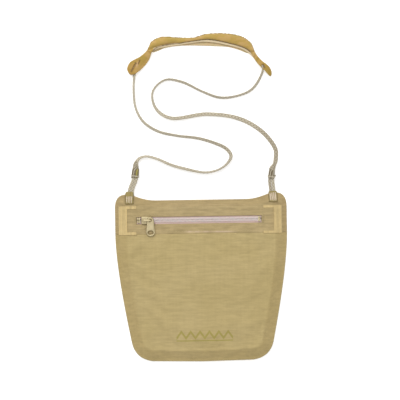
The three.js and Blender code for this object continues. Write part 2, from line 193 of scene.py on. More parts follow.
def srgb(*colour):
    """Linear colour from the usual 0-255 values."""
    shares = [value / 255 for value in colour]
    return tuple(s / 12.92 if s <= 0.04045 else ((s + 0.055) / 1.055) ** 2.4 for s in shares)


class Look:
    """A material being made: its nodes, and the tint that its base colour has so far."""

    def __init__(self, name, tint):
        self.material = bpy.data.materials.new(name)
        self.material.use_nodes = True
        self.tree = self.material.node_tree
        self.tint = tint

    def feed(self, socket, value):
        if isinstance(value, bpy.types.NodeSocket):
            self.tree.links.new(value, socket)
        elif socket.type == "RGBA":
            socket.default_value = (*value, 1)[:4]
        else:
            socket.default_value = value

    def node(self, kind, inputs, **settings):
        """Adds a node; inputs are sockets to link or values to set, by name or number."""
        made = self.tree.nodes.new("ShaderNode" + kind)
        for key, value in settings.items():
            setattr(made, key, value)
        for key, value in inputs.items():
            self.feed(made.inputs[key], value)
        return made

    def math(self, operation, *values):
        return self.node("Math", dict(enumerate(values)), operation=operation).outputs[0]

    def place(self, stretch=(1, 1, 1), turn=0.0):
        """Object position in millimetres, with each axis multiplied by stretch."""
        place = self.node("TexCoord", {}).outputs["Object"]
        scale = tuple(s / MM for s in stretch)
        inputs = {"Vector": place, "Scale": scale, "Rotation": (0, 0, turn)}
        return self.node("Mapping", inputs).outputs["Vector"]

    def noise(self, stretch=(1, 1, 1), scale=1.0, detail=2.0, roughness=0.5, turn=0.0):
        inputs = {"Vector": self.place(stretch, turn), "Scale": scale, "Detail": detail}
        return self.node("TexNoise", {**inputs, "Roughness": roughness}).outputs["Fac"]

    def weave(self, pitch):
        """Plain weave: crossing threads at pitch millimetres."""
        place = self.node("SeparateXYZ", {0: self.place()})
        waves = [self.math("SINE", self.math("MULTIPLY", place.outputs[k], TAU / pitch)) for k in (0, 1)]
        return self.math("MULTIPLY", *waves)

    def tone(self, name):
        """A value that the mesh has at each point."""
        return self.node("Attribute", {}, attribute_name=name).outputs["Fac"]

    def remap(self, value, out_low, out_high, low=0.3, high=0.7):
        inputs = {"Value": value, "From Min": low, "From Max": high, "To Min": out_low, "To Max": out_high}
        return self.node("MapRange", inputs, clamp=True).outputs["Result"]

    def mix(self, share, first, second, blend="MIX"):
        inputs = {"Fac": share, "Color1": first, "Color2": second}
        return self.node("MixRGB", inputs, blend_type=blend).outputs["Color"]

    def times(self, colour, value):
        return self.mix(1.0, colour, value, "MULTIPLY")

    def cover(self, share, colour):
        """Mixes a share of a colour into the tint."""
        self.tint = self.mix(share, self.tint, colour)

    def shade(self, *remapped):
        """Multiplies the tint by a remapped value."""
        self.tint = self.times(self.tint, self.remap(*remapped))

    def bump(self, height, distance, strength, under=None):
        inputs = {"Height": height, "Distance": distance * MM, "Strength": strength}
        if under is not None:
            inputs["Normal"] = under
        return self.node("Bump", inputs).outputs["Normal"]

    def finished(self, **inputs):
        """The material, with the tint and these inputs of its shader; _ stands for a space."""
        shader = self.tree.nodes["Principled BSDF"]
        self.feed(shader.inputs["Base Color"], self.tint)
        for key, value in inputs.items():
            self.feed(shader.inputs[key.replace("_", " ")], value)
        return self.material


def print_mask(look):
    """Plain zigzag line with a rule under it, low on the front; 1 on the print, 0 elsewhere."""
    left, right, middle, rise, period, stroke = -26.0, 30.0, -57.0, 6.4, 9.35, 0.85
    x, y = look.node("SeparateXYZ", {0: look.place()}).outputs[:2]

    def away(value, centre):
        return look.math("ABSOLUTE", look.math("SUBTRACT", value, centre))

    zigzag = look.math("PINGPONG", look.math("SUBTRACT", x, left), period / 2)
    level = look.math("MULTIPLY", zigzag, 2 * rise / period)
    height = look.math("SUBTRACT", y, middle - rise / 2)
    on_line = look.remap(away(height, level), 1, 0, stroke + 0.55, stroke + 1.0)
    on_rule = look.remap(away(height, -2.6), 1, 0, 0.45, 0.7)
    marks = look.math("MAXIMUM", on_line, on_rule)
    reach = (right - left) / 2
    return look.math("MULTIPLY", marks, look.remap(away(x, (left + right) / 2), 1, 0, reach, reach + 0.4))


def ripstop_material(name, colour, contrast, printed=False):
    """Thin ribbed polyester: fine weave, slubby rows about 2 mm apart and soft tonal patches."""
    look = Look(name, colour)
    rows = look.noise((0.075, 0.5, 0.3), detail=3.0, roughness=0.66)
    patches = look.noise((0.022, 0.03, 0.02))
    columns = look.noise((0.42, 0.03, 0.1))
    weave = look.weave(0.55)
    look.cover(look.remap(patches, 0, 1, 0.35, 0.65), look.times(colour, (0.955, 0.95, 0.905)))
    look.shade(rows, 1 - contrast, 1 + 0.8 * contrast, 0.32, 0.68)
    look.shade(columns, 0.975, 1.02, 0.32, 0.68)
    look.shade(weave, 0.97, 1.02, -1, 1)
    # painted shade: the front is darker over its sloping border along the edge
    margin = look.remap(look.tone("inset"), 1, 0, SHADED_MARGIN - 0.9, SHADED_MARGIN + 1.6)
    look.cover(margin, look.times(look.tint, (0.925, 0.905, 0.875)))
    # pale painted highlight along the zip panel's folded lower edge
    look.cover(look.tone("tone_and_highlight"), srgb(222, 196, 172))
    if printed:
        look.cover(print_mask(look), look.mix(0.62, look.tint, srgb(146, 136, 52)))
    return look.finished(
        Roughness=look.remap(rows, 0.82, 0.68),
        Normal=look.bump(rows, 0.5, 0.55, look.bump(weave, 0.05, 0.5)),
        Sheen_Weight=0.12, Sheen_Roughness=0.45, Specular_IOR_Level=0.3)


def brushed_material(name, colour):
    """Soft brushed fabric of the neck band: matt nap, uneven dye and fine wrinkles."""
    look = Look(name, colour)
    nap = look.noise(scale=2.2, detail=4.0, roughness=0.7)
    patches = look.noise((0.05, 0.09, 0.05), detail=3.0)
    creases = look.noise((0.12, 0.5, 0.2), detail=3.0, roughness=0.6)
    blotches = look.noise((0.11, 0.16, 0.1))
    dull, bright = look.times(colour, (0.95, 0.92, 0.86)), look.times(colour, (1.08, 1.07, 1.12))
    look.tint = look.mix(look.remap(patches, 0, 1, 0.35, 0.65), dull, bright)
    look.shade(nap, 0.95, 1.05)
    look.shade(creases, 0.96, 1.04)
    look.cover(look.remap(blotches, 0, 0.4, 0.5, 0.62), srgb(196, 160, 112))
    look.cover(look.remap(blotches, 0, 0.35, 0.5, 0.38), srgb(164, 146, 72))
    # painted shade that darkens the band's tails
    look.cover(look.tone("tail_shade"), look.times(look.tint, (0.8, 0.74, 0.5)))
    look.cover(look.tone("pink"), srgb(203, 168, 132))
    # dark brown painted shade in the band's creases, slit lips and twists
    look.cover(look.tone("crease_shade"), srgb(124, 92, 42))
    return look.finished(
        Roughness=look.remap(nap, 0.98, 0.86),
        Normal=look.bump(creases, 0.6, 0.5, look.bump(nap, 0.18, 0.5)),
        Sheen_Weight=0.18, Sheen_Roughness=0.6, Specular_IOR_Level=0.2)


def tape_material(name, colour, stretch, contrast=0.1):
    """Woven tape with ribs; stretch says how fast the ribs repeat along each axis."""
    look = Look(name, colour)
    ribs = look.noise(stretch, detail=1.0)
    weave = look.weave(0.45)
    tone_and_highlight = look.noise(scale=0.3, detail=3.0, roughness=0.6)
    look.shade(ribs, 1 - contrast, 1 + contrast * 0.6)
    look.shade(weave, 0.96, 1.03, -1, 1)
    look.shade(tone_and_highlight, 0.96, 1.04)
    # dark brown tone: painted shade along a tab sleeve's sides and tucked end
    look.cover(look.tone("edge"), srgb(98, 78, 38))
    return look.finished(
        Roughness=look.remap(tone_and_highlight, 0.75, 0.62),
        Normal=look.bump(ribs, 0.2, 0.5, look.bump(weave, 0.06, 0.6)), Sheen_Weight=0.15)


def yarn_material(name, light, dark, roughness=0.75):
    """Twisted or braided yarn; the tone "strand" is 0 in its furrows and 1 on its ridges, and the furrows
    are painted with shade in the dark colour.
    """
    look = Look(name, light)
    flecks = look.noise(scale=1.1, detail=3.0, roughness=0.65)
    dirt = look.noise(scale=0.07)
    fibres = look.noise(scale=5.0, roughness=0.7)
    # painted shade: the dark colour fills the furrows and the gaps between strands
    look.tint = look.mix(look.remap(look.tone("strand"), 0, 1, 0.05, 0.8), dark, light)
    look.cover(look.remap(flecks, 0, 0.65, 0.52, 0.68), dark)
    # olive tint on part of one knot strand
    look.cover(look.tone("stain"), srgb(166, 155, 72))
    look.cover(look.tone("warm"), srgb(219, 198, 158))
    # dark brown: painted shade where the cord shows in the band's slit and under the flap's edge, and a
    # darker right part of the cord
    look.cover(look.tone("deep"), srgb(92, 68, 34))
    look.shade(dirt, 0.93, 1.04, 0.35, 0.65)
    look.shade(fibres, 0.93, 1.05)
    return look.finished(
        Roughness=look.remap(flecks, roughness, roughness - 0.1),
        Normal=look.bump(fibres, 0.06, 0.6), Sheen_Weight=0.2)


def nylon_material(name, colour):
    """Satin nylon of the zip's coils."""
    look = Look(name, colour)
    spots = look.noise(scale=0.8)
    look.shade(spots, 0.93, 1.05)
    return look.finished(
        Roughness=look.remap(spots, 0.48, 0.36),
        Subsurface_Weight=0.08, Subsurface_Scale=0.5 * MM)


def metal_material(name, colour, roughness):
    """Lacquered zip hardware: brushed, a little scratched, with painted shade in its recesses and along
    its edges.
    """
    look = Look(name, colour)
    brushing = look.noise((1.5, 14, 3))
    scratches = look.noise((0.5, 5, 5), detail=4.0, roughness=0.7, turn=0.6)
    wear = look.noise(scale=0.35, detail=3.0)
    look.shade(wear, 0.92, 1.05)
    look.shade(scratches, 1.0, 0.86, 0.6, 0.75)
    # painted shade: darker at the hardware's edges and low down under its parts
    look.cover(look.tone("metal_shade"), srgb(120, 100, 58))
    return look.finished(
        Roughness=look.remap(brushing, roughness + 0.08, roughness - 0.06),
        Normal=look.bump(brushing, 0.03, 0.4), Metallic=0.55)


def floor_material():
    look = Look("floor", (0.93, 0.93, 0.93))
    look.shade(look.noise(scale=0.02), 0.995, 1.0)
    return look.finished(
        Roughness=0.9, Specular_IOR_Level=0.1, Emission_Color=(1, 1, 1), Emission_Strength=0.34)


MATERIALS = {
    "pouch": ripstop_material("pouch_ripstop", srgb(181, 162, 113), 0.09),
    "pouch_top": ripstop_material("pouch_ripstop_top", srgb(175, 155, 112), 0.15),
    "pouch_front": ripstop_material("pouch_ripstop_front", srgb(181, 162, 113), 0.09, printed=True),
    "lining": ripstop_material("lining_taffeta", srgb(196, 180, 144), 0.04),
    "bracket": tape_material("bracket_tape", srgb(201, 177, 122), (0.45, 0.02, 0.02), 0.14),
    "tab": tape_material("tab_tape", srgb(152, 135, 80), (0.9, 0.1, 0.1), 0.2),
    "zip_tape": tape_material("zip_tape_woven", srgb(218, 192, 184), (0.03, 0.6, 0.1), 0.1),
    "coil": nylon_material("zip_coil_nylon", srgb(231, 217, 211)),
    "metal": metal_material("zip_hardware", srgb(207, 192, 152), 0.38),
    "thread": yarn_material("tack_thread", srgb(240, 226, 208), srgb(170, 142, 110), 0.6),
    "stitch": yarn_material("seam_thread", srgb(196, 178, 132), srgb(160, 142, 92), 0.65),
    "cord": yarn_material("cord_braid", srgb(197, 188, 166), srgb(122, 108, 82)),
    "band": brushed_material("band_brushed", srgb(176, 147, 77)),
    "band_inner": brushed_material("band_lining", srgb(196, 178, 138)),
}


# ---------------------------------------------------------------- meshes
# A part is a mesh's points, its faces, and its tones: named values for each point.

def make_piece(name, part, look, nodes=(), body="pouch"):
    """Makes a piece from a part in millimetres."""
    points, faces, tones = part
    mesh = bpy.data.meshes.new(name)
    mesh.from_pydata((np.asarray(points, float) * MM).tolist(), [], [tuple(f) for f in faces])
    mesh.update()
    mesh.polygons.foreach_set("use_smooth", [True] * len(mesh.polygons))
    for tone, values in tones.items():
        layer = mesh.attributes.new(tone, "FLOAT", "POINT")
        layer.data.foreach_set("value", np.asarray(values, np.float32))
    mesh.materials.append(MATERIALS[look])
    piece = add_object(name, mesh)
    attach(piece, body)
    if nodes:
        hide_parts(*nodes)
    return piece


def joined(parts):
    """Several parts as one."""
    points = []
    faces = []
    tones = {}
    for part_points, part_faces, part_tones in parts:
        start = len(points)
        points.extend(np.asarray(part_points, float).tolist())
        faces.extend(tuple(int(i) + start for i in face) for face in part_faces)
        for key, values in part_tones.items():
            tones.setdefault(key, []).extend(np.asarray(values, float).tolist())
    return points, faces, tones


def along_lengths(line):
    """Distance along a line to each of its points."""
    return np.concatenate([[0], np.cumsum(np.linalg.norm(np.diff(line, axis=0), axis=1))])


def places_on(line, at, lengths):
    """Places on a line at distances along it."""
    return np.stack([np.interp(at, lengths, column) for column in line.T], axis=1)


def respaced(line, spacing):
    lengths = along_lengths(line)
    count = max(2, round(lengths[-1] / spacing) + 1)
    return places_on(line, np.linspace(0, lengths[-1], count), lengths)


def smooth_path(points, spacing, closed=False, passes=0):
    """Even points along the centripetal Catmull-Rom curve through the given ones."""
    given = np.array(points, float)
    ends = given[-1:] if closed else 2 * given[:1] - given[1:2]
    after = given[:2] if closed else 2 * given[-1:] - given[-2:-1]
    whole = np.vstack([ends, given, after])
    dense = []
    for four in zip(whole, whole[1:], whole[2:], whole[3:]):
        t = np.cumsum([0] + [math.sqrt(np.linalg.norm(b - a)) for a, b in zip(four, four[1:])])
        for u in np.linspace(t[1], t[2], 24, endpoint=False):
            level = four
            for gap in (1, 2):
                level = [a + (b - a) * (u - t[i]) / (t[i + gap] - t[i])
                         for i, (a, b) in enumerate(zip(level, level[1:]))]
            dense.append(level[0] + (level[1] - level[0]) * (u - t[1]) / (t[2] - t[1]))
    dense.append(dense[0] if closed else given[-1])
    even = respaced(np.array(dense), spacing)
    for _ in range(passes):
        even[1:-1] = (even[:-2] + 2 * even[1:-1] + even[2:]) / 4
    return even[:-1] if closed else even


def squircle(sides, power=1.0):
    """Points around a circle of radius 1, made squarer by a power below 1."""
    turn = np.arange(sides) * TAU / sides
    return signed_power(np.stack([np.cos(turn), np.sin(turn)], axis=1), power)


def signed_power(values, power):
    return np.sign(values) * np.abs(values) ** power


def tube(rings, ends):
    """Points and faces of a closed tube through rings of points, with one more point at each end."""
    count = len(rings[0])
    near = np.arange(count)
    after = (near + 1) % count
    faces = []
    for start in range(0, count * (len(rings) - 1), count):
        faces.extend(zip(start + near, start + after, start + count + after, start + count + near))
    first = len(rings) * count
    last = first - count
    faces.extend((first, b, a) for a, b in zip(near, after))
    faces.extend((first + 1, last + a, last + b) for a, b in zip(near, after))
    return np.vstack([*rings, *ends]), faces


def level_across(line, up=(0, 0, 1)):
    """At each point of a line: its direction, and the level direction across it."""
    tangent = np.gradient(line, axis=0)
    tangent /= np.linalg.norm(tangent, axis=1)[:, None]
    across = np.cross(tangent, np.array(up, float))
    return tangent, across / np.linalg.norm(across, axis=1)[:, None]


def sweep(line, sections, roll=None, up=(0, 0, 1)):
    """Closed tube with an outline at each point, across and up; roll turns it."""
    tangent, across = level_across(line, up)
    above = np.cross(across, tangent)
    angle = np.zeros(len(line)) if roll is None else np.asarray(roll)
    cos, sin = np.cos(angle)[:, None], np.sin(angle)[:, None]
    sides = cos * across + sin * above
    tops = cos * above - sin * across
    rings = [p + s[:, :1] * a + s[:, 1:] * b for p, s, a, b in zip(line, sections, sides, tops)]
    return tube(rings, [line[0], line[-1]])


def distance_to(points, loops, closed=True):
    """Distance from each point to the nearest side of some loops, or of open lines."""
    nearest = np.full(len(points), 1e9)
    for loop in loops:
        a = np.asarray(loop, float)
        b = np.roll(a, -1, axis=0)
        if not closed:
            a, b = a[:-1], b[:-1]
        side = b - a
        squared = np.maximum((side ** 2).sum(1), 1e-12)
        for start in range(0, len(points), 4000):
            chunk = points[start:start + 4000, None, :]
            share = (((chunk - a) * side).sum(2) / squared).clip(0, 1)
            gap = chunk - (a + share[..., None] * side)
            found = np.sqrt((gap ** 2).sum(2)).min(1)
            nearest[start:start + 4000] = np.minimum(nearest[start:start + 4000], found)
    return nearest


def inside(points, loop):
    """Whether each point is inside a closed loop."""
    x, y = points.T
    hits = np.zeros(len(points), bool)
    for (x0, y0), (x1, y1) in zip(loop, np.roll(loop, -1, axis=0)):
        crosses = (y0 > y) != (y1 > y)
        at = x0 + (y - y0) * (x1 - x0) / np.where(y1 == y0, 1e-12, y1 - y0)
        hits ^= crosses & (x < at)
    return hits


def offset_loop(loop, distance):
    ahead = np.roll(loop, -1, axis=0) - np.roll(loop, 1, axis=0)
    ahead /= np.linalg.norm(ahead, axis=1)[:, None]
    return loop + distance * np.stack([-ahead[:, 1], ahead[:, 0]], axis=1)


def counterclockwise(loop):
    loop = np.asarray(loop, float)
    after = np.roll(loop, -1, axis=0)
    area = (loop[:, 0] * after[:, 1] - loop[:, 1] * after[:, 0]).sum()
    return loop if area > 0 else loop[::-1]


EVEN_ROW = 0.866  # height of an equilateral triangle over its side


def triangulated(outer, holes, spacing, rim, rows=1.0):
    """Even triangles inside an outline, with rings of points near its edges; rows scales the
    height of a row. Returns the points, the triangles, and each point's distance from the edge."""
    outer = counterclockwise(outer)
    holes = [counterclockwise(hole) for hole in holes]
    loops = [outer, *holes]

    def in_shape(points):
        kept = inside(points, outer)
        for hole in holes:
            kept &= ~inside(points, hole)
        return kept

    extra = []
    for step in rim:
        for loop, side in [(outer, 1), *((hole, -1) for hole in holes)]:
            ring = offset_loop(loop, side * step)
            extra.append(ring[distance_to(ring, loops) > 0.85 * step])
    low, high = outer.min(0), outer.max(0)
    grid = []
    for row, y in enumerate(np.arange(low[1], high[1], spacing * EVEN_ROW * rows)):
        start = low[0] + (spacing / 2 if row % 2 else 0)
        grid.extend((x, y) for x in np.arange(start, high[0], spacing))
    grid = np.array(grid)
    grid = grid[in_shape(grid) & (distance_to(grid, loops) > rim[-1] + 0.45 * spacing)]
    points = np.vstack([*loops, *extra, grid])
    edges = []
    start = 0
    for loop in loops:
        edges.extend((start + i, start + (i + 1) % len(loop)) for i in range(len(loop)))
        start += len(loop)
    made = delaunay_2d_cdt([Vector(p) for p in points], edges, [], 1, 1e-6)
    xy = np.array([tuple(p) for p in made[0]])
    triangles = np.array([tuple(f) for f in made[2]])
    triangles = triangles[in_shape(xy[triangles].mean(1))]
    used = np.unique(triangles)
    index = np.full(len(xy), -1)
    index[used] = np.arange(len(used))
    return xy[used], index[triangles], distance_to(xy[used], loops)


def turned_area(xy, triangles):
    """Twice each triangle's area, negative where it is clockwise."""
    a, b, c = (xy[triangles[:, k]] for k in range(3))
    return (b - a)[:, 0] * (c - a)[:, 1] - (b - a)[:, 1] * (c - a)[:, 0]


def two_faced(xy, triangles, top, thickness, thin, tones):
    """Closed part from a flat triangulation: two faces that share the points of the edge, each
    half of the thickness, times thin, away from the level between them."""
    half = thickness / 2 * thin
    middle = top - thickness / 2
    sides = np.sort(np.vstack([triangles[:, [0, 1]], triangles[:, [1, 2]], triangles[:, [2, 0]]]), axis=1)
    unique, uses = np.unique(sides, axis=0, return_counts=True)
    inner = np.ones(len(xy), bool)
    inner[unique[uses == 1].ravel()] = False
    upper = np.column_stack([xy, np.where(inner, middle + half, middle)])
    lower = np.column_stack([xy, middle - half])[inner]
    under = np.arange(len(xy))
    under[inner] = len(xy) + np.arange(inner.sum())
    turned = turned_area(xy, triangles) < 0
    triangles = np.where(turned[:, None], triangles[:, ::-1], triangles)
    faces = np.vstack([triangles, under[triangles][:, ::-1]])
    doubled = {key: np.concatenate([values, values[inner]]) for key, values in tones.items()}
    return np.vstack([upper, lower]), faces, doubled


def rounded(distance, radius):
    """From 0 at an edge to 1 at radius from it, as a quarter circle."""
    share = np.clip(distance / radius, 0, 1)
    return np.sqrt(1 - (1 - share) ** 2)


def smooth_step(value, low, high):
    share = np.clip((np.asarray(value, float) - low) / (high - low), 0, 1)
    return share * share * (3 - 2 * share)


def hump(value, width):
    """1 where the value is 0, falling away over the width."""
    return np.exp(-(value / width) ** 2)


def noise_field(x, y, scale_x, scale_y, seed=0.0):
    """Smooth noise from about -1 to 1 at each point."""
    return np.array([noise.noise(Vector((a * scale_x, b * scale_y, seed))) for a, b in zip(x, y)])


# ---------------------------------------------------------------- pouch shape

def bezier(points, count):
    """Points of a Bezier curve of any degree, without its last one."""
    t = np.linspace(0, 1, count, endpoint=False)[:, None]
    level = [np.array(p, float)[None] * np.ones_like(t) for p in points]
    while len(level) > 1:
        level = [a + (b - a) * t for a, b in zip(level, level[1:])]
    return level[0]


def pouch_sides(inset):
    """Right half of the outline: bottom to shoulder, and shoulder to the middle of the top."""
    side = HALF_WIDTH - inset
    low = LOWER_HALF_WIDTH - inset
    base = BOTTOM + inset
    drop = TOP_INSET * inset
    shoulder = SHOULDER - drop
    neck = NECKLINE - drop
    round_side = np.vstack([
        bezier([(0, base), (50, base + 1)], 40),
        bezier([(50, base + 1), (67.5 - 0.9 * inset, base + 3.2 - 0.1 * inset), (low, -64.5)], 24),
        bezier([(low, -64.5), (side, 10), (side, 45)], 70),
        bezier([(side, 45), (side, 70 - drop)], 20),
        bezier([(side, 70 - drop), (side, shoulder + 0.6), (74 - inset, shoulder)], 18),
    ])
    top = np.vstack([
        bezier([(74 - inset, shoulder), (66 - drop, shoulder), (60 - drop / 2, neck), (44, neck)], 26),
        bezier([(44, neck), (0, neck)], 36),
        [(0, neck)],
    ])
    return round_side, top


def pouch_outline(inset=0.0):
    half = np.vstack(pouch_sides(inset))
    return np.vstack([half, half[1:-1][::-1] * (-1, 1)])


def pouch_inset(xy):
    """How far points are from the pouch's edge, with the narrower margin at its top."""
    round_side, top = pouch_sides(0)
    flip = np.array([-1, 1])
    lower = np.vstack([round_side[::-1] * flip, round_side[1:]])
    upper = np.vstack([top, top[:-1][::-1] * flip])
    from_side = distance_to(xy, [lower], closed=False)
    return np.minimum(from_side, distance_to(xy, [upper], closed=False) / TOP_INSET)


def from_seams(y):
    return np.minimum(np.abs(y - SEAM_LOW), np.abs(y - SEAM_HIGH))


def front_level(inset):
    """Height of the front's outer face by distance from the edge."""
    t = np.clip((inset - HEM) / (SLOPE_END - HEM), 0, 1)
    return HEM_TOP + (FRONT_TOP - HEM_TOP) * (1.2 * t - 0.2 * t ** 3)


def filled_out(loop, spacing):
    """Adds points on the long sides of a loop."""
    out = []
    for a, b in zip(loop, np.roll(loop, -1, axis=0)):
        count = max(1, math.ceil(np.linalg.norm(b - a) / spacing))
        out.extend(a + (b - a) * k / count for k in range(count))
    return np.array(out)


def rectangle(left, low, right, high, spacing):
    corners = [(left, low), (right, low), (right, high), (left, high)]
    return filled_out(np.array(corners), spacing)


def zip_window():
    middle = ZIP_Y - 0.3
    return rectangle(WINDOW_LEFT, middle - WINDOW_HALF, WINDOW_RIGHT, middle + WINDOW_HALF, 1.0)


def settled_front():
    """How the front moves as its cloth settles: one sheet, a little larger than the pouch, held
    at the hem, the seams and the zip, and pressed outwards."""
    xy, triangles, _ = triangulated(pouch_outline(), [zip_window()], 2.6, (1.0, 2.3))
    inset = pouch_inset(xy)
    start = front_level(inset) + 0.25 * noise_field(*xy.T, 0.09, 0.06, 30.0)
    held = (inset < 3) | (from_seams(xy[:, 1]) < 1.4) | (distance_to(xy, [zip_window()]) < 1.6)

    mesh = bpy.data.meshes.new("cloth_trial")
    mesh.from_pydata((np.column_stack([xy, start]) * MM).tolist(), [], triangles.tolist())
    trial = add_object("cloth_trial", mesh)
    pins = trial.vertex_groups.new(name="held")
    pins.add([int(i) for i in np.nonzero(held)[0]], 1.0, "REPLACE")
    modifier = trial.modifiers.new("cloth", "CLOTH")
    settings = {
        "quality": 6, "mass": 0.15, "tension_stiffness": 20, "compression_stiffness": 20,
        "shear_stiffness": 8, "bending_stiffness": 0.35, "vertex_group_mass": "held",
        "shrink_min": -0.012, "use_pressure": True, "uniform_pressure_force": 0.6,
    }
    for key, value in settings.items():
        setattr(modifier.settings, key, value)
    modifier.settings.effector_weights.gravity = 0
    modifier.collision_settings.use_collision = False
    scene = bpy.context.scene
    frames = 24
    scene.frame_start, scene.frame_end = 1, frames
    modifier.point_cache.frame_start, modifier.point_cache.frame_end = 1, frames
    for number in range(1, frames + 1):
        scene.frame_set(number)
    settled = trial.evaluated_get(bpy.context.evaluated_depsgraph_get()).data
    moved = np.array([v.co.z for v in settled.vertices]) / MM - start
    scene.frame_set(1)
    bpy.data.objects.remove(trial)
    moved = np.clip(np.nan_to_num(moved), -1.1, 1.1)
    places = [Vector((x, y, z)) for (x, y), z in zip(xy, moved)]
    return BVHTree.FromPolygons(places, triangles.tolist())


def settled_at(xy):
    """The settled cloth's movement at each place."""
    if SETTLED is None:
        return np.zeros(len(xy))
    down = Vector((0, 0, -1))
    hits = [SETTLED.ray_cast(Vector((x, y, 50)), down)[0] for x, y in xy]
    return np.array([0.0 if hit is None else hit.z for hit in hits])


def front_height(xy):
    """Height of the front's outer face, with the folds of the fabric."""
    x, y = xy.T
    inset = pouch_inset(xy)
    fade_in, fade_out = (46, 48), (70, 72)  # where the zip panel's folds begin and end along Y
    in_panel = smooth_step(y, *fade_in) * (1 - smooth_step(y, *fade_out))
    near_zip = 1 - smooth_step(np.abs(y - ZIP_Y), 5, 8)
    below = FOLDS_FROM - y
    hang = smooth_step(below, 0, 6) * (1 - smooth_step(below, 30, 80))
    folds = noise_field(x, y, 0.022, 0.34, 3.1) * (0.5 * in_panel * (1 - 0.8 * near_zip))
    folds += noise_field(x, y, 0.085, 0.012, 7.7) * 0.55 * hang
    folds += noise_field(x, y, 0.03, 0.035, 12.4) * 0.5 * (1 - in_panel)
    folds += noise_field(x, y, 0.05, 0.3, 21.0) * 0.12
    folds -= 0.25 * (hump(y - SEAM_LOW, 1.6) + hump(y - SEAM_HIGH, 1.6))
    return front_level(inset) + settled_at(xy) + smooth_step(inset, 1.5, 9) * folds


SETTLED = settled_front()


# ---------------------------------------------------------------- pouch body

def clipped_outline(low, high):
    """The pouch's outline between two heights along Y."""
    loop = pouch_outline()
    kept = []
    for (x0, y0), (x1, y1) in zip(loop, np.roll(loop, -1, axis=0)):
        if low <= y0 <= high:
            kept.append((x0, y0))
        for cut in sorted((low, high), reverse=bool(y0 > y1)):
            if (y0 - cut) * (y1 - cut) < 0:
                kept.append((x0 + (x1 - x0) * (cut - y0) / (y1 - y0), cut))
    return filled_out(np.array(kept), 1.2)


def front_cloth(name, outline, holes, look, spacing, rows):
    """A piece of the front: raised over the middle, turned in at its cut edges, and brought
    down to meet the back along the hem. The zip panel's folded edges lie over its neighbours."""
    xy, triangles, edge = triangulated(outline, holes, spacing, (0.25, 0.7), rows)
    x, y = xy.T
    inset = pouch_inset(xy)
    is_panel = name == "zip_panel"
    at_seam = 1 - smooth_step(from_seams(y), 0.8, 2.6)
    top = front_height(xy) - 1.0 * (1 - rounded(inset, 1.4)) + (0.22 if is_panel else -0.22) * at_seam
    thin = rounded(edge, np.where(inset > edge + 0.6, 0.55, 0.9))
    # painted highlight: a pale broken line along the zip panel's folded lower edge
    dashes = 0.5 + 0.5 * smooth_step(noise_field(x, y, 0.16, 0.1, 5.0), -0.5, 0.2)
    tone_and_highlight = 0.62 * smooth_step(x, -20, -12) * (1 - smooth_step(x, 30, 38)) * dashes * is_panel
    tone_and_highlight *= hump(y - (SEAM_LOW + 1.15 - 0.012 * x), 0.65)
    part = two_faced(xy, triangles, top, FABRIC, thin, {"inset": inset, "tone_and_highlight": tone_and_highlight})
    return make_piece(f"{name}_cloth", part, look, [name])


def make_back():
    xy, triangles, edge = triangulated(pouch_outline(), [], 2.4, (0.25, 0.8, 1.6))
    inset = pouch_inset(xy)
    top = FABRIC + 1.0 * (1 - rounded(inset, 1.6))
    part = two_faced(xy, triangles, top, FABRIC, rounded(edge, 0.9), {"inset": inset})
    return make_piece("back_cloth", part, "pouch", ["back_panel"])


def make_divider():
    low, high = box_mm("inner_divider")
    xy, triangles, edge = triangulated(pouch_outline(1.0), [], 4.0, (0.3, 1.0))
    thin = rounded(edge, 0.6)
    part = two_faced(xy, triangles, high[2], high[2] - low[2], thin, {"inset": edge + 20})
    return make_piece("divider_cloth", part, "lining", ["inner_divider"])


def make_pouch():
    lap = 0.7  # how far neighbours reach past their seam
    lower = clipped_outline(-100, SEAM_LOW + lap)
    middle = clipped_outline(SEAM_LOW - lap, SEAM_HIGH + lap)
    upper = clipped_outline(SEAM_HIGH - lap, 100)
    panels = {
        "back_panel": make_back(),
        "inner_divider": make_divider(),
        "front_panel": front_cloth("front_panel", lower, [], "pouch_front", 1.5, 0.8),
        "zip_panel": front_cloth("zip_panel", middle, [zip_window()], "pouch_top", 1.3, 0.5),
        "top_yoke": front_cloth("top_yoke", upper, [], "pouch_top", 1.3, 0.6),
    }
    for name, piece in panels.items():
        flat_area(piece)


def flat_size(node):
    low, high = box_mm(node)
    return tuple((high - low)[:2] * MM)


def flat_area(piece):
    """Area of a cloth's cut: its outline's, as seen from above."""
    mesh = piece.data
    mesh.calc_loop_triangles()
    xy = np.array([v.co for v in mesh.vertices])[:, :2]
    triangles = np.array([t.vertices for t in mesh.loop_triangles])
    return float(np.abs(turned_area(xy, triangles)).sum() / 4)


# ---------------------------------------------------------------- cord

def braid_section(width, thickness, along, sides=20, pitch=3.4, depth=0.16):
    """Outline of a flat braid at one place along it, and how raised each point is."""
    share = np.arange(sides) / sides
    first = along / pitch + 4 * share
    second = along / pitch - 4 * share
    over = (np.floor(first) + np.floor(second)) % 2 == 0
    ridge = np.where(over, np.abs(np.sin(math.pi * first)), np.abs(np.sin(math.pi * second)))
    half = np.array([width / 2, thickness / 2])
    return squircle(sides, 0.72) * (half - depth * (1 - ridge[:, None])), ridge


def braided(line, widths, rolls):
    """Flat braided cord along a line."""
    made = [braid_section(w, CORD_THICKNESS, s) for w, s in zip(widths, along_lengths(line))]
    points, faces = sweep(line, [outline for outline, _ in made], rolls)
    return points, faces, {"strand": np.concatenate([ridge for _, ridge in made] + [[0.5, 0.5]])}


def knot_axis(side):
    """The middle of a knot and the direction of its axis."""
    low, high = box_mm(f"cord_knot_{side}")
    lean = math.radians(CORD_ENDS[side]["lean"])
    centre = (low + high) / 2 + (CORD_ENDS[side]["shift"], 0, 0)
    return centre, np.array([-math.sin(lean), math.cos(lean), 0])


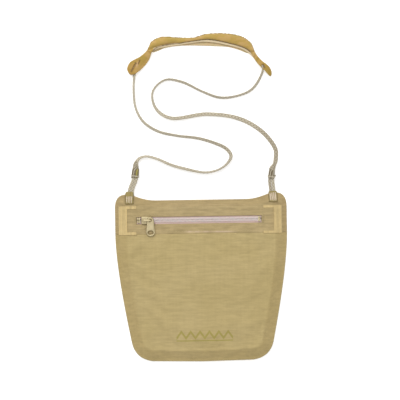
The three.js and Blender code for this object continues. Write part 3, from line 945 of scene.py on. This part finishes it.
def strand_route(side, which):
    """From inside the cord tab to the knot."""
    centre, axis = knot_axis(side)
    x, y = CORD_ENDS[side][which]
    on_right = (which == "inner") == (side == "left")
    shift = np.array([1.5 if on_right else -1.5, 0, 0])
    start = np.array([x, y, 2.5])
    above_tab = np.array([x + 0.04 * shift[0], y + 3.4, 2.5])
    return [start, above_tab, centre - 6.8 * axis + shift, centre - 2 * axis + shift * 0.6]


def cord_path():
    """The cord's whole line, and how much of it comes before the route starts."""
    route = [(p[0], p[1], p[2] if len(p) > 2 else CORD_REST) for p in CORD_ROUTE]
    first, last = (strand_route(side, "inner") for side in ("left", "right"))
    left, right = (centre + 3 * axis for centre, axis in map(knot_axis, ("left", "right")))
    whole = smooth_path([*first, left, *route, right, *last[::-1]], 0.5, passes=12)
    return whole, along_lengths(smooth_path([*first, route[0]], 0.5))[-1]


def seen_width(width, roll):
    """How broad a flat cord looks from above when it is rolled."""
    flat = np.abs(width * np.cos(roll)) ** ROUNDNESS
    return (flat + np.abs(CORD_THICKNESS * np.sin(roll)) ** ROUNDNESS) ** (1 / ROUNDNESS)


def roll_to_show(shown, width):
    """The roll at which a flat cord looks that broad."""
    rolls = np.linspace(0, math.pi / 2, 60)
    seen = np.minimum.accumulate(seen_width(width, rolls))
    return float(np.interp(-shown, -seen, rolls))


def evened(values, reach=12):
    """Values averaged over their neighbours."""
    share = np.ones(2 * reach + 1) / (2 * reach + 1)
    return np.convolve(np.pad(values, reach, mode="edge"), share, mode="valid")


def make_cord():
    """The neck cord from one tab through both knots and the band to the other tab."""
    line, before = cord_path()
    lengths = along_lengths(line)
    total = lengths[-1]
    past = 4  # the narrow strands end this far before the route starts
    stops = [(-before, STRAND_WIDTH), (-past, STRAND_WIDTH), *CORD_SHOWN,
             (total - 2 * before + past, STRAND_WIDTH), (total - before, STRAND_WIDTH)]
    shown = np.interp(lengths - before, *zip(*stops))
    in_strand = (lengths < before - past) | (lengths > total - before + past)
    widths = evened(np.where(in_strand, STRAND_WIDTH, CORD_WIDTH))
    roll = evened(np.array([roll_to_show(s, w) for s, w in zip(shown, widths)]))
    half_height = seen_width(widths, roll + math.pi / 2) / 2
    line[:, 2] = np.maximum(line[:, 2], half_height + 0.1)
    line[:, 2] += CORD_RISE * hump(np.hypot(*(line[:, :2] - CORD_SHOWS_AT).T), 3)
    part = braided(line, widths, roll)
    x, y, _ = part[0].T
    # the cord is a little darker over its right part, most towards the right knot
    tone_and_highlight = (0.08 + 0.14 * smooth_step(x, 45, 72) * (y < 150)) * (x > -35)
    # painted shade: dark brown where the cord shows through the band's slit and where it passes under the
    # flap's lower edge
    by_slit = hump(np.hypot(x + 64.5, y - 211.5), 4.5)
    in_band = (y > BAND_FROM) & (x > BAND_ENDS[0]) & (x < BAND_ENDS[1])
    from_flap = np.where(in_band, distance_to(part[0][:, :2], [band_loops()[2]]), 99)
    deep = np.maximum(tone_and_highlight, by_slit) * ~in_band
    part[2]["deep"] = np.maximum(deep, 0.75 * hump(from_flap, 0.7))
    part[2]["warm"] = 0.75 * in_band
    cord = make_piece("neck_cord_braid", part, "cord", ["neck_cord"])
    return cord, line, line[:, 2] + half_height


def make_strand(side):
    """The other strand of a doubled end."""
    line = smooth_path(strand_route(side, "outer"), 0.5, passes=8)
    part = braided(line, np.full(len(line), STRAND_WIDTH), np.zeros(len(line)))
    nodes = [f"cord_strand_{side}_outer", f"cord_strand_{side}_inner"]
    return make_piece(f"cord_return_{side}", part, "cord", nodes)


def knot_strand(spine, across, wide, turn, width, thick):
    """One strand of a knot's bundle, lying at an angle around its spine, flat side outwards."""
    up = np.array([0, 0, 1.0])
    outward = (wide * np.cos(turn))[:, None] * across + (0.6 * wide * np.sin(turn))[:, None] * up
    line = spine + outward
    made = [braid_section(width, thick, s, 12) for s in along_lengths(line)]
    tangent = level_across(line)[0]
    top = outward - (outward * tangent).sum(1)[:, None] * tangent
    top /= np.linalg.norm(top, axis=1)[:, None]
    side = np.cross(tangent, top)
    rings = [p + s[:, :1] * a + s[:, 1:] * b for p, a, b, (s, _) in zip(line, side, top, made)]
    # painted shade where neighbouring strands meet
    ridges = [ridge * (1 - smooth_step(np.abs(outline[:, 0]) * 2 / width, 0.5, 0.95))
              for outline, ridge in made]
    points, faces = tube(rings, [line[0], line[-1]])
    return points, faces, {"strand": np.concatenate([*ridges, [0.3, 0.3]])}


def make_knot(side):
    """A sliding knot: a bundle of strands that tapers into the cord, held by a wrap."""
    shape = KNOT_SHAPE[side]
    centre, axis = knot_axis(side)
    route = CORD_ROUTE[:2] if side == "left" else CORD_ROUTE[:-3:-1]
    spine = smooth_path([*(centre + d * axis for d in (-6.4, -1.5, 3)), *route], KNOT_SPACING)
    lengths = along_lengths(spine)
    spine = spine[lengths <= shape[-1][0]]
    lengths = lengths[:len(spine)]
    across = level_across(spine)[1]
    wide = np.interp(lengths, *zip(*shape))
    taper = smooth_step(lengths, 7, shape[-1][0])
    parts = []
    strands = 7
    for k in range(strands):
        turn = TAU * k / strands + 0.35 - 0.03 * lengths - 2.4 * taper
        part = knot_strand(spine, across, wide - 0.75, turn, 2.1 - 0.5 * taper[-1], 1.1)
        from_foot = np.linalg.norm(part[0] - spine[0], axis=1)
        # olive tint on one strand of the left knot, near its foot
        olive_part = smooth_step(from_foot, 0.5, 2.5) * (1 - smooth_step(from_foot, 8, 10))
        part[2]["stain"] = olive_part * (side == "left" and k == 1)
        parts.append(part)
    parts.append(knot_wrap(spine, across, wide, -1 if side == "left" else 1))
    # dark core: painted shade between the knot's strands
    core, faces = sweep(spine, [(w - 1.0) * squircle(12) * (1, 0.6) for w in wide])
    parts.append((core, faces, {"strand": np.zeros(len(core)), "stain": np.zeros(len(core))}))
    return make_piece(f"knot_wraps_{side}", joined(parts), "cord", [f"cord_knot_{side}"])


def knot_wrap(spine, across, wide, hand):
    """The slanted wrap near a knot's lower end, whose cut end stands out at the side."""
    share = np.linspace(0, 1, 70)
    at = (1.7 + 0.5 * hand + hand * 2.2 * (share - 0.5)) / KNOT_SPACING
    steps = np.arange(len(spine))
    reach = np.interp(at, steps, wide) - 0.15 + 0.7 * smooth_step(share, 0.92, 1)
    turn = 0.15 - 2.35 * math.pi * (1 - share)
    side = hand * places_on(across, at, steps)
    part = knot_strand(places_on(spine, at, steps), side, reach, turn, 1.9, 0.9)
    part[2]["stain"] = np.zeros(len(part[0]))
    return part


def make_cords():
    cord, line, top = make_cord()
    on_it = [make(side) for make in (make_strand, make_knot) for side in CORD_ENDS]
    return line, top


# ---------------------------------------------------------------- small shapes

def rounded_block(low, high, radius, steps=5):
    """Points and faces of a box with round edges."""
    low, high = np.array(low, float), np.array(high, float)
    centre, half = (low + high) / 2, (high - low) / 2
    radius = min(radius, half.min())
    t = np.sin(np.linspace(-math.pi / 2, math.pi / 2, 2 * steps + 1))
    places = {}
    points = []
    faces = []
    for axis in range(3):
        for side in (-1, 1):
            index = np.zeros((len(t), len(t)), int)
            for i, u in enumerate(t):
                for j, v in enumerate(t):
                    p = np.insert(np.array([u, v]), axis, side)
                    key = tuple(np.round(p, 6))
                    if key not in places:
                        places[key] = len(points)
                        away = p ** 3 / np.linalg.norm(p ** 3)
                        points.append(centre + p * (half - radius) + radius * away)
                    index[i, j] = places[key]
            quads = [(index[i, j], index[i + 1, j], index[i + 1, j + 1], index[i, j + 1])
                     for i in range(len(t) - 1) for j in range(len(t) - 1)]
            outward = side * (-1 if axis == 1 else 1)
            faces.extend(q if outward > 0 else q[::-1] for q in quads)
    return np.array(points), faces


def plate(outline, holes, heights, spacing, rim, edge_radius, metal_shade=None):
    """Flat part with rounded edges; heights gives its top and bottom from places and their
    distance to the edge, and the last argument, if given, gives the tone of painted shade from the same
    distance."""
    xy, triangles, edge = triangulated(outline, holes, spacing, rim)
    top, bottom = heights(xy, edge)
    tones = {"metal_shade": metal_shade(edge)} if metal_shade else {}
    return two_faced(xy, triangles, top, top - bottom, rounded(edge, edge_radius), tones)


def cad_loops(node):
    """Outlines of the upper face of a flat CAD node, the longest one first."""
    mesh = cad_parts[node].data
    top = max(v.co.z for v in mesh.vertices) / MM
    ahead = {}
    for polygon in mesh.polygons:
        corners = [tuple(round(c / MM, 3) for c in mesh.vertices[i].co) for i in polygon.vertices]
        if min(corner[2] for corner in corners) < top - 0.01:
            continue
        for a, b in zip(corners, corners[1:] + corners[:1]):
            if a in ahead.get(b, ()):
                ahead[b].remove(a)
            else:
                ahead.setdefault(a, []).append(b)
    loops = []
    while any(ahead.values()):
        start = next(a for a, after in ahead.items() if after)
        loop = [start]
        while ahead[loop[-1]]:
            loop.append(ahead[loop[-1]].pop())
        loops.append(np.array(loop[:-1])[:, :2])
    return sorted(loops, key=len, reverse=True)


def arc(centre, radius, start, end, count):
    """Points of an arc in degrees, without its last one."""
    turn = np.radians(np.linspace(start, end, count, endpoint=False))
    return np.array(centre) + np.stack([np.cos(turn), np.sin(turn)], axis=1) * radius


def thread_tube(line, radius, sides=6, twist=1.4):
    """Twisted thread along a line, with its ridges in the tone."""
    turn = np.arange(sides) * TAU / sides
    ridges = [0.5 + 0.5 * np.cos(2 * turn + TAU * s / twist) for s in along_lengths(line)]
    sections = [squircle(sides) * (radius * (0.86 + 0.14 * ridge))[:, None] for ridge in ridges]
    return (*sweep(line, sections), {"strand": np.concatenate([*ridges, [0.5, 0.5]])})


def lockstitches(path, height, length=2.3, gap=0.7, radius=0.19):
    """Separate stitches along a path; height gives the cloth's at each place."""
    lengths = along_lengths(path)
    share = np.linspace(0, 1, 6)
    parts = []
    for start in np.arange(0.3, lengths[-1] - length, length + gap):
        xy = places_on(path, start + share * length, lengths)
        z = height(xy) + radius * (1.5 * np.sin(math.pi * share) - 0.75)
        parts.append(thread_tube(np.column_stack([xy, z]), radius, 5))
    return parts


def zigzag(corners, height, lift, radius):
    """Thread that runs through corner points, lifted over the cloth between them."""
    path = respaced(np.array(corners, float), 0.3)
    return thread_tube(np.column_stack([path, height(path) + lift]), radius)


# ---------------------------------------------------------------- brackets, tabs and stitching

def make_bracket(side):
    """Ribbed tape around an end of the zip, lying on the front."""
    node = f"zip_bracket_{side}"
    low, high = box_mm(node)
    sign = -1 if side == "left" else 1
    outer = max(abs(low[0]), abs(high[0]))
    end = min(abs(low[0]), abs(high[0]))
    arm = 3.0
    strip = 8.9
    if side == "right":
        outer, end, strip, arm = outer - 1.4, end - 2.2, 8.5, 2.6
        high[1] -= 1.0
    corners = [
        (end, low[1]), (outer, low[1]), (outer, high[1]), (end, high[1]),
        (end + 0.4, high[1] - arm), (outer - strip, high[1] - arm),
        (outer - strip, low[1] + arm), (end + 0.4, low[1] + arm),
    ]

    def heights(xy, edge):
        from_outer = outer - np.abs(xy[:, 0])
        upright = smooth_step(strip - from_outer, 0.2, 1.2)
        ribs = 0.09 * np.cos(TAU * (from_outer - 1.1) / 2.2) * upright
        cloth = front_height(xy)
        return cloth + 0.66 + ribs, cloth + 0.12

    outline = filled_out(np.array(corners) * (sign, 1), 0.7)
    part = plate(outline, [], heights, 0.75, (0.2,), 0.35)
    make_piece(f"bracket_tape_{side}", part, "bracket", [node])


def make_tab(side):
    """Fabric sleeve sewn to the shoulder, with the doubled cord coming out of its mouth."""
    low, high = box_mm(f"cord_tab_{side}")
    x = (low[0] + high[0]) / 2
    half_width = (high[0] - low[0]) / 2
    mouth = high[1]
    out = mouth - SHOULDER
    section = np.insert(squircle(28, 0.6), 1, 0, axis=1)
    # Each ring's place along Y, width as a share of the tab's, half height and middle height.
    stops = []
    for y in np.linspace(low[1], SHOULDER - 1, 14):
        cloth = front_height(np.array([[x, y]]))[0]
        share = (y - low[1]) / (SHOULDER - low[1])
        stops.append((y, 1 - 0.03 * (y == low[1]), 0.42 + 0.15 * share, cloth + 0.72 - 0.1 * share))
    stops += [
        (SHOULDER + 0.1, 0.98, 1.1, 2.75), (SHOULDER + 0.45 * out, 0.93, 1.38, 2.52),
        (SHOULDER + 0.8 * out, 0.84, 1.42, 2.5), (mouth, 0.76, 1.34, 2.5),
        (mouth - 0.05, 0.72, 1.12, 2.5), (mouth - 0.9, 0.72, 1.0, 2.5),
    ]
    rings = [(x, y, z) + section * (half_width * w, 0, h) for y, w, h, z in stops]
    points, faces = tube(rings, [rings[0].mean(0), rings[-1].mean(0)])
    out_share = np.abs(points[:, 0] - x) / half_width
    from_end = smooth_step(points[:, 1] - low[1], 0, 0.6)
    # painted shade along the sleeve's sides, where it turns down, and at its tucked-in end
    edge = 0.9 * np.maximum(smooth_step(out_share, 0.8, 0.97), 1 - from_end)
    part = points, [f[::-1] for f in faces], {"edge": edge}
    make_piece(f"tab_sleeve_{side}", part, "tab", [f"cord_tab_{side}"])


def make_bar_tack(side):
    """Dense zigzag of pale thread that sews a tab down, in four bundles."""
    low, high = box_mm(f"bar_tack_{side}")
    centre = (low[0] + high[0]) / 2
    high += (0, 0.4, 0) if side == "left" else (0.5, 2.0, 0)

    def sleeve_top(xy):
        drop = 0.35 * np.abs((xy[:, 0] - centre) / 3.6) ** 4
        return front_height(np.column_stack([np.full(len(xy), centre), xy[:, 1]])) - drop

    bundles = 4
    pitch = (high[0] - low[0] - 0.5) / bundles
    parts = []
    for bundle in range(bundles):
        left = low[0] + 0.45 + bundle * pitch
        columns = np.arange(left, left + pitch - 0.75, 0.3)
        corners = []
        for i, x in enumerate(columns):
            round_end = 0.9 * (2 * i / (len(columns) - 1) - 1) ** 2
            ragged = 0.25 * math.sin(2.4 * i + bundle)
            y = low[1] + 0.3 + round_end if i % 2 else high[1] - 0.3 - 0.5 * round_end
            corners.append((x, y + ragged))
        parts.append(zigzag(corners, sleeve_top, 1.2, 0.26))
    make_piece(f"tack_thread_{side}", joined(parts), "thread", [f"bar_tack_{side}"])


def make_stitching():
    """Lockstitches along the seams, around the zip window and along the hem."""
    left, right, reach = WINDOW_LEFT - 3.6, WINDOW_RIGHT + 3.6, WINDOW_HALF + 2.0
    around = rectangle(left, ZIP_Y - reach, right, ZIP_Y + reach, 1.0)
    lines = [np.array([(-80.5, y), (80.5, y)]) for y in (PANEL_LOW[1] + 1.5, PANEL_HIGH[1] - 1.6)]
    lines.append(np.vstack([around, around[:1]]))
    parts = [stitch for line in lines for stitch in lockstitches(respaced(line, 0.5), front_height)]
    make_piece("front_seam_stitches", joined(parts), "stitch")

    hem_inset = 1.9
    hem = pouch_outline(hem_inset)
    hem = respaced(np.vstack([hem, hem[:1]]), 0.5)
    make_piece("back_hem_stitches", joined(lockstitches(hem, lambda xy: 0.01)), "stitch")


# ---------------------------------------------------------------- zip

def make_zip_tape(which):
    """Woven tape with a thicker edge along the slot."""
    node = f"zip_tape_{which}"
    low, high = box_mm(node)
    slot = high[1] if which == "lower" else low[1]

    def heights(xy, edge):
        ribs = 0.03 * np.cos(TAU * xy[:, 0] / 1.6)
        return high[2] + 0.06 * hump(xy[:, 1] - slot, 0.8) + ribs, low[2]

    part = plate(rectangle(*low[:2], *high[:2], 1.2), [], heights, 1.0, (0.25,), 0.25)
    make_piece(f"tape_{which}", part, "zip_tape", [node])


def make_coil(which):
    """Coil of nylon wire whose loops mesh with the other coil's along the middle of the zip."""
    pitch = 1.25
    wire = 0.29
    reach = 0.35
    node = f"zip_coil_{which}"
    low, high = box_mm(node)
    is_lower = which == "lower"
    outer = low[1] if is_lower else high[1]
    head = ZIP_Y + (reach if is_lower else -reach)
    centre_y, half_y = (outer + head) / 2, abs(head - outer) / 2 - wire
    centre_z, half_z = (low[2] + high[2]) / 2, (high[2] - low[2]) / 2 - wire - 0.02
    start = low[0] + (0 if is_lower else pitch / 2)
    turns = math.floor((WINDOW_RIGHT - start) / pitch)
    angle = np.linspace(0, turns * TAU, turns * 16 + 1)
    y = centre_y + half_y * signed_power(np.cos(angle), 0.75)
    z = centre_z + half_z * signed_power(np.sin(angle), 0.75)
    line = np.column_stack([start + pitch * angle / TAU, y, z])
    core = np.array([(x, centre_y, centre_z) for x in np.arange(low[0] + 0.3, WINDOW_RIGHT, 2.0)])
    part = joined([
        (*sweep(line, [wire * squircle(6)] * len(line), up=(1, 0, 0)), {}),
        (*sweep(core, [(half_z - 0.1) * squircle(8)] * len(core)), {}),
    ])
    make_piece(f"coil_wire_{which}", part, "coil", [node])


def make_stop(node, bars, axis):
    """Crimped stop: a row of folded bars over the end of the coil."""
    low, high = box_mm(node)
    low[1] -= 0.4 * (node == "top_stop_upper")
    high[1] += 0.4 * (node == "top_stop_lower")
    ends = np.linspace(low[axis], high[axis], bars + 1)
    parts = []
    for a, b in zip(ends, ends[1:]):
        near, far = low.copy(), high.copy()
        near[axis], far[axis] = a + 0.07, b - 0.07
        points, faces = rounded_block(near, far, 0.42)
        # painted shade towards the bottom of each bar, where it meets the tape
        metal_shade = 0.5 * smooth_step(low[2] + 0.6 - points[:, 2], 0, 0.6)
        parts.append((points, faces, {"metal_shade": metal_shade}))
    make_piece(f"{node}_crimp", joined(parts), "metal", [node])


def make_zip_tack(side):
    """Thread bar across an end of the zip window."""
    node = f"zip_tack_{side}"
    low, high = box_mm(node)
    rows = np.arange(low[1] + 0.2, high[1] - 0.1, 0.42)
    corners = [(low[0] + 0.1 if i % 2 else high[0] - 0.1, y) for i, y in enumerate(rows)]
    part = zigzag(corners, front_height, 0.28, 0.24)
    make_piece(f"zip_tack_thread_{side}", part, "stitch", [node])


def slider_outline(low, high):
    """Outline of the slider's plates: wide at its nose, narrower at its tail."""
    nose, tail = low[0], high[0]
    wide = (high[1] - low[1]) / 2
    narrow = 3.2
    half = np.vstack([
        arc((nose + 1.2, wide - 1.2), 1.2, 180, 90, 6),
        [(nose + 1.2, wide), (nose + 3.0, wide), (nose + 4.6, wide)],
        [((nose + tail) / 2 + 1.2, (wide + narrow) / 2 + 0.12)],
        arc((tail - 1.4, narrow - 1.4), 1.4, 90, 0, 6),
        [(tail, narrow - 1.4)],
    ])
    return filled_out(np.vstack([half, half[::-1] * (1, -1)]), 0.5)[::-1] + (0, ZIP_Y)


def make_slider():
    """Slider body: domed upper plate, flat lower plate and the two side flanges."""
    low, high = box_mm("slider_body")
    outline = slider_outline(low, high)
    centre_y = (low[1] + high[1]) / 2
    plate_top = high[2] - 0.9
    flange_low = box_mm("zip_coil_lower")[0][2] + 0.05

    def upper(xy, edge):
        return high[2] - 0.22 * (np.abs(xy[:, 1] - centre_y) / 3.9) ** 2 + 0.02, plate_top

    def lower(xy, edge):
        return low[2] + 0.9, low[2]

    # painted shade along the plates' edges, and the whole slider a little darker
    def edge_shade(edge):
        return 0.12 + 0.8 * (1 - smooth_step(edge, 0.1, 0.5))

    parts = [plate(outline, [], heights, 0.5, (0.12, 0.3), 0.4, edge_shade) for heights in (upper, lower)]
    flange_inner, flange_outer = 2.75, 3.35
    for sign in (-1, 1):
        y = sorted((centre_y + sign * flange_inner, centre_y + sign * flange_outer))
        near = (low[0] + 2.6, y[0], flange_low)
        far = (high[0] - 0.8, y[1], plate_top + 0.25)
        points, faces = rounded_block(near, far, 0.25)
        # painted shade over the flanges under the upper plate
        parts.append((points, faces, {"metal_shade": np.full(len(points), 0.5)}))
    make_piece("slider_shell", joined(parts), "metal", ["slider_body"], "zip_slider")


def make_bridge():
    """Bridge on the slider: a bent bar whose round end passes through the pull tab's eye."""
    low, high = box_mm("slider_bridge")
    foot = low[0] + 0.8
    post = high[0] - 1.0
    base = box_mm("slider_body")[1][2] - 0.15
    crown = high[2] - 0.55
    bends = [
        (foot, base), (foot, base + 1.1), (foot + 0.55, crown - 0.35), (foot + 1.9, crown),
        ((foot + post) / 2, crown + 0.05), (post - 1.7, crown), (post - 0.35, crown - 0.35),
        (post, crown - 1.2), (post, base),
    ]
    line = smooth_path(np.insert(np.array(bends), 1, (low[1] + high[1]) / 2, axis=1), 0.22)
    lengths = along_lengths(line)
    bar = squircle(16, 0.6) * (0.52, 0.85)
    to_round = smooth_step(lengths, lengths[-1] - 3.2, lengths[-1] - 2.0)
    sections = [bar * (1 - share) + squircle(16) * 0.78 * share for share in to_round]
    points, faces = sweep(line, sections, up=(0, 1, 0))
    # painted shade towards the bridge's feet
    part = points, faces, {"metal_shade": 0.6 * smooth_step(base + 0.7 - points[:, 2], 0, 0.7)}
    make_piece("slider_bridge_bar", part, "metal", ["slider_bridge"], "zip_slider")


def make_pull_tab():
    """Pull tab with a raised rim, a round eye and an oval hole, drooping a little."""
    low, high = box_mm("pull_tab")
    length, top_half, end_half, thickness = 19.8, 3.4, 4.5, 1.0
    free = top_half - length + 0.3
    droop = math.radians(3)
    outline = filled_out(np.vstack([
        arc((0, 0), top_half, 0, 180, 22),
        [(-top_half, 0)],
        arc((0, free + end_half), end_half, 180, 360, 28),
        [(end_half, free + end_half)],
    ]), 0.6)
    eye = arc((0, 0), 1.35, 0, 360, 24)
    slot = arc((0, 0), 1, 0, 360, 30) * (2.8, 2.0) + (0, -12.2)

    def heights(xy, edge):
        return thickness - 0.14 * smooth_step(edge, 0.75, 1.15), 0.0

    # painted shade along the tab's edges and at the step inside its rim
    def edge_shade(edge):
        return np.maximum(0.95 * (1 - smooth_step(edge, 0.1, 0.42)), 0.3 * hump(edge - 1.05, 0.2))

    rim = (0.1, 0.28, 0.75, 1.1)
    points, faces, tones = plate(outline, [eye, slot], heights, 0.45, rim, 0.38, edge_shade)
    cos, sin = math.cos(droop), math.sin(droop)
    x, y, z = points.T
    lift = high[2] - (top_half * sin + thickness * cos)
    eye_x = (low[0] + high[0]) / 2
    points = np.column_stack([x + eye_x, y * cos - z * sin + ZIP_Y, y * sin + z * cos + lift])
    part = points, faces, tones
    make_piece("pull_tab_plate", part, "metal", ["pull_tab"], "pull_tab")


def make_zip():
    for make in (make_zip_tape, make_coil):
        for which in ("lower", "upper"):
            make(which)
    for stop in (("top_stop_lower", 2, 0), ("top_stop_upper", 2, 0), ("bottom_stop", 3, 1)):
        make_stop(*stop)
    for side in CORD_ENDS:
        make_zip_tack(side)
    make_slider()
    make_bridge()
    make_pull_tab()


# ---------------------------------------------------------------- neck band

def narrowed(loop, share):
    """A slit with its width reduced to a share."""
    centre = loop.mean(0)
    long_way = np.linalg.svd(loop - centre)[2][0]
    along = ((loop - centre) @ long_way)[:, None] * long_way
    return centre + along + (loop - centre - along) * share


def band_loops():
    """The front layer's outline and slits, and the flap's part of that outline."""
    loops = cad_loops("neck_band_front")
    outline = smooth_path(loops[0], 0.9, closed=True)
    slits = [narrowed(counterclockwise(loop), 0.05) for loop in loops[1:]]
    x, y = outline.T
    return outline, slits, outline[(x > FLAP_ENDS[0]) & (x < FLAP_ENDS[1]) & (y > FLAP_FROM)]


def over_cord(xy, cord_line, cord_top, reach):
    """Height of the cord's top near each place, sloping away beside it."""
    near = np.full(len(xy), -1e9)
    for (x, y, _), top in zip(cord_line, cord_top):
        away = np.hypot(xy[:, 0] - x, xy[:, 1] - y)
        near = np.maximum(near, top - np.clip(away - reach, 0, 9) * 0.55)
    return near


def make_band_front(cord_line, cord_top):
    """Front layer: a soft flap folded over at its top, running into two slit tails."""
    outline, slits, flap = band_loops()
    xy, triangles, edge = triangulated(outline, slits, 1.2, (0.3, 0.8))
    x, y = xy.T
    in_flap = inside(xy, flap)
    from_flap = distance_to(xy, [flap])
    fold_line = flap[:, 1] > np.interp(flap[:, 0], [-52, 0, 20, 57], [228.5, 239, 240, 229])
    from_top = distance_to(xy, [flap[fold_line]], closed=False)
    crown = 3.0 + 1.7 * rounded(from_flap, 3.2) + 0.35 * noise_field(x, y, 0.035, 0.12, 4.0)
    crown += 0.22 * noise_field(x, y, 0.09, 0.35, 9.0)
    crown += 1.2 * (hump(x - 54, 4) + hump(x + 50, 4))
    flap_top = 0.75 + (crown - 0.75) * rounded(from_top, 5.0)
    tail_top = 2.9 - 1.1 * smooth_step(from_flap, 0, 16) + 0.25 * noise_field(x, y, 0.12, 0.12, 15.0)
    tail_top = np.maximum(tail_top, over_cord(xy, cord_line, cord_top, 2.3) + 1.0)
    tail_top -= (CORD_RISE + 1.0) * hump(np.hypot(*(xy - CORD_SHOWS_AT).T), 2.6)
    twist = hump(from_flap - 6, 4) * (x > 50) * ~in_flap
    turns = np.sin((0.9 * x - 0.5 * y) * 1.5)
    tail_top += 0.35 * twist * turns
    thin = rounded(edge, 0.8) * (1 - 0.45 * hump(from_flap, 1.5) * in_flap)

    # painted shade: dark brown along the flap's lower edge, at the slits' lips and in the twist's furrows,
    # and some over the big slit
    crease = hump(from_flap, np.where(in_flap, 0.7, 0.9)) * (1 - hump(from_top, 1.1))
    slit_lip = hump(distance_to(xy, slits), 0.65)
    crease_shade = np.clip(0.5 * crease + 0.95 * slit_lip + 0.5 * twist * np.clip(-turns, 0, 1), 0, 1)
    # painted shade: the big slit's dark wedge, and darker tails, most at the left tail and at the tips
    wedge = hump(x + 66.5 - 0.38 * (y - 208.6), 1.5) * hump(y - 208.6, 3.0)
    left_tail = smooth_step(-x, 56, 66)
    tips = smooth_step(-x - y, -144, -136) + smooth_step(x, 66, 72)
    tail_shade = smooth_step(from_flap, 2, 10) * (0.3 + 0.3 * left_tail + 0.5 * tips) * ~in_flap
    tones = {
        "crease_shade": np.clip(crease_shade + 0.35 * wedge, 0, 1),
        "tail_shade": np.maximum(tail_shade, 1.3 * wedge),
        "pink": 0.85 * hump(x + 61.3 - 0.35 * (y - 214), 1.1) * hump(y - 214, 3.2),
    }
    part = two_faced(xy, triangles, np.where(in_flap, flap_top, tail_top), 0.9, thin, tones)
    return make_piece("band_flap", part, "band", ["neck_band_front"])


def make_band_back():
    """Back layer, which shows below the flap in the middle."""
    outline = smooth_path(cad_loops("neck_band_back")[0], 0.9, closed=True)
    xy, triangles, edge = triangulated(outline, [], 1.4, (0.3, 0.8))
    thickness = 0.8
    top = 0.9 + 0.12 * noise_field(*xy.T, 0.08, 0.3, 2.0)
    tones = {"crease_shade": np.zeros(len(xy))}
    part = two_faced(xy, triangles, top, thickness, rounded(edge, 0.7), tones)
    return make_piece("band_lining", part, "band_inner", ["neck_band_back"])


def make_band(cord_line, cord_top):
    near_band = cord_line[:, 1] > BAND_FROM
    front = make_band_front(cord_line[near_band][::3], cord_top[near_band][::3])
    for piece, node in [(front, "neck_band_front"), (make_band_back(), "neck_band_back")]:
        length, height = flat_size(node)
        max(flat_area(piece), LEAST_SHARE * length * height)


# ---------------------------------------------------------------- floor

def make_floor():
    side = 3.0
    mesh = bpy.data.meshes.new("floor")
    corners = [(-side, -side, 0), (side, -side, 0), (side, side, 0), (-side, side, 0)]
    mesh.from_pydata(corners, [], [(0, 1, 2, 3)])
    mesh.materials.append(floor_material())
    floor = add_object("floor", mesh)
    floor.location = (0, 0, -0.2 * MM)


make_camera()
make_light()
make_floor()
cord_line, cord_top = make_cords()
make_pouch()
for end in CORD_ENDS:
    make_bracket(end)
for end in CORD_ENDS:
    make_tab(end)
    make_bar_tack(end)
make_stitching()
make_zip()
make_band(cord_line, cord_top)
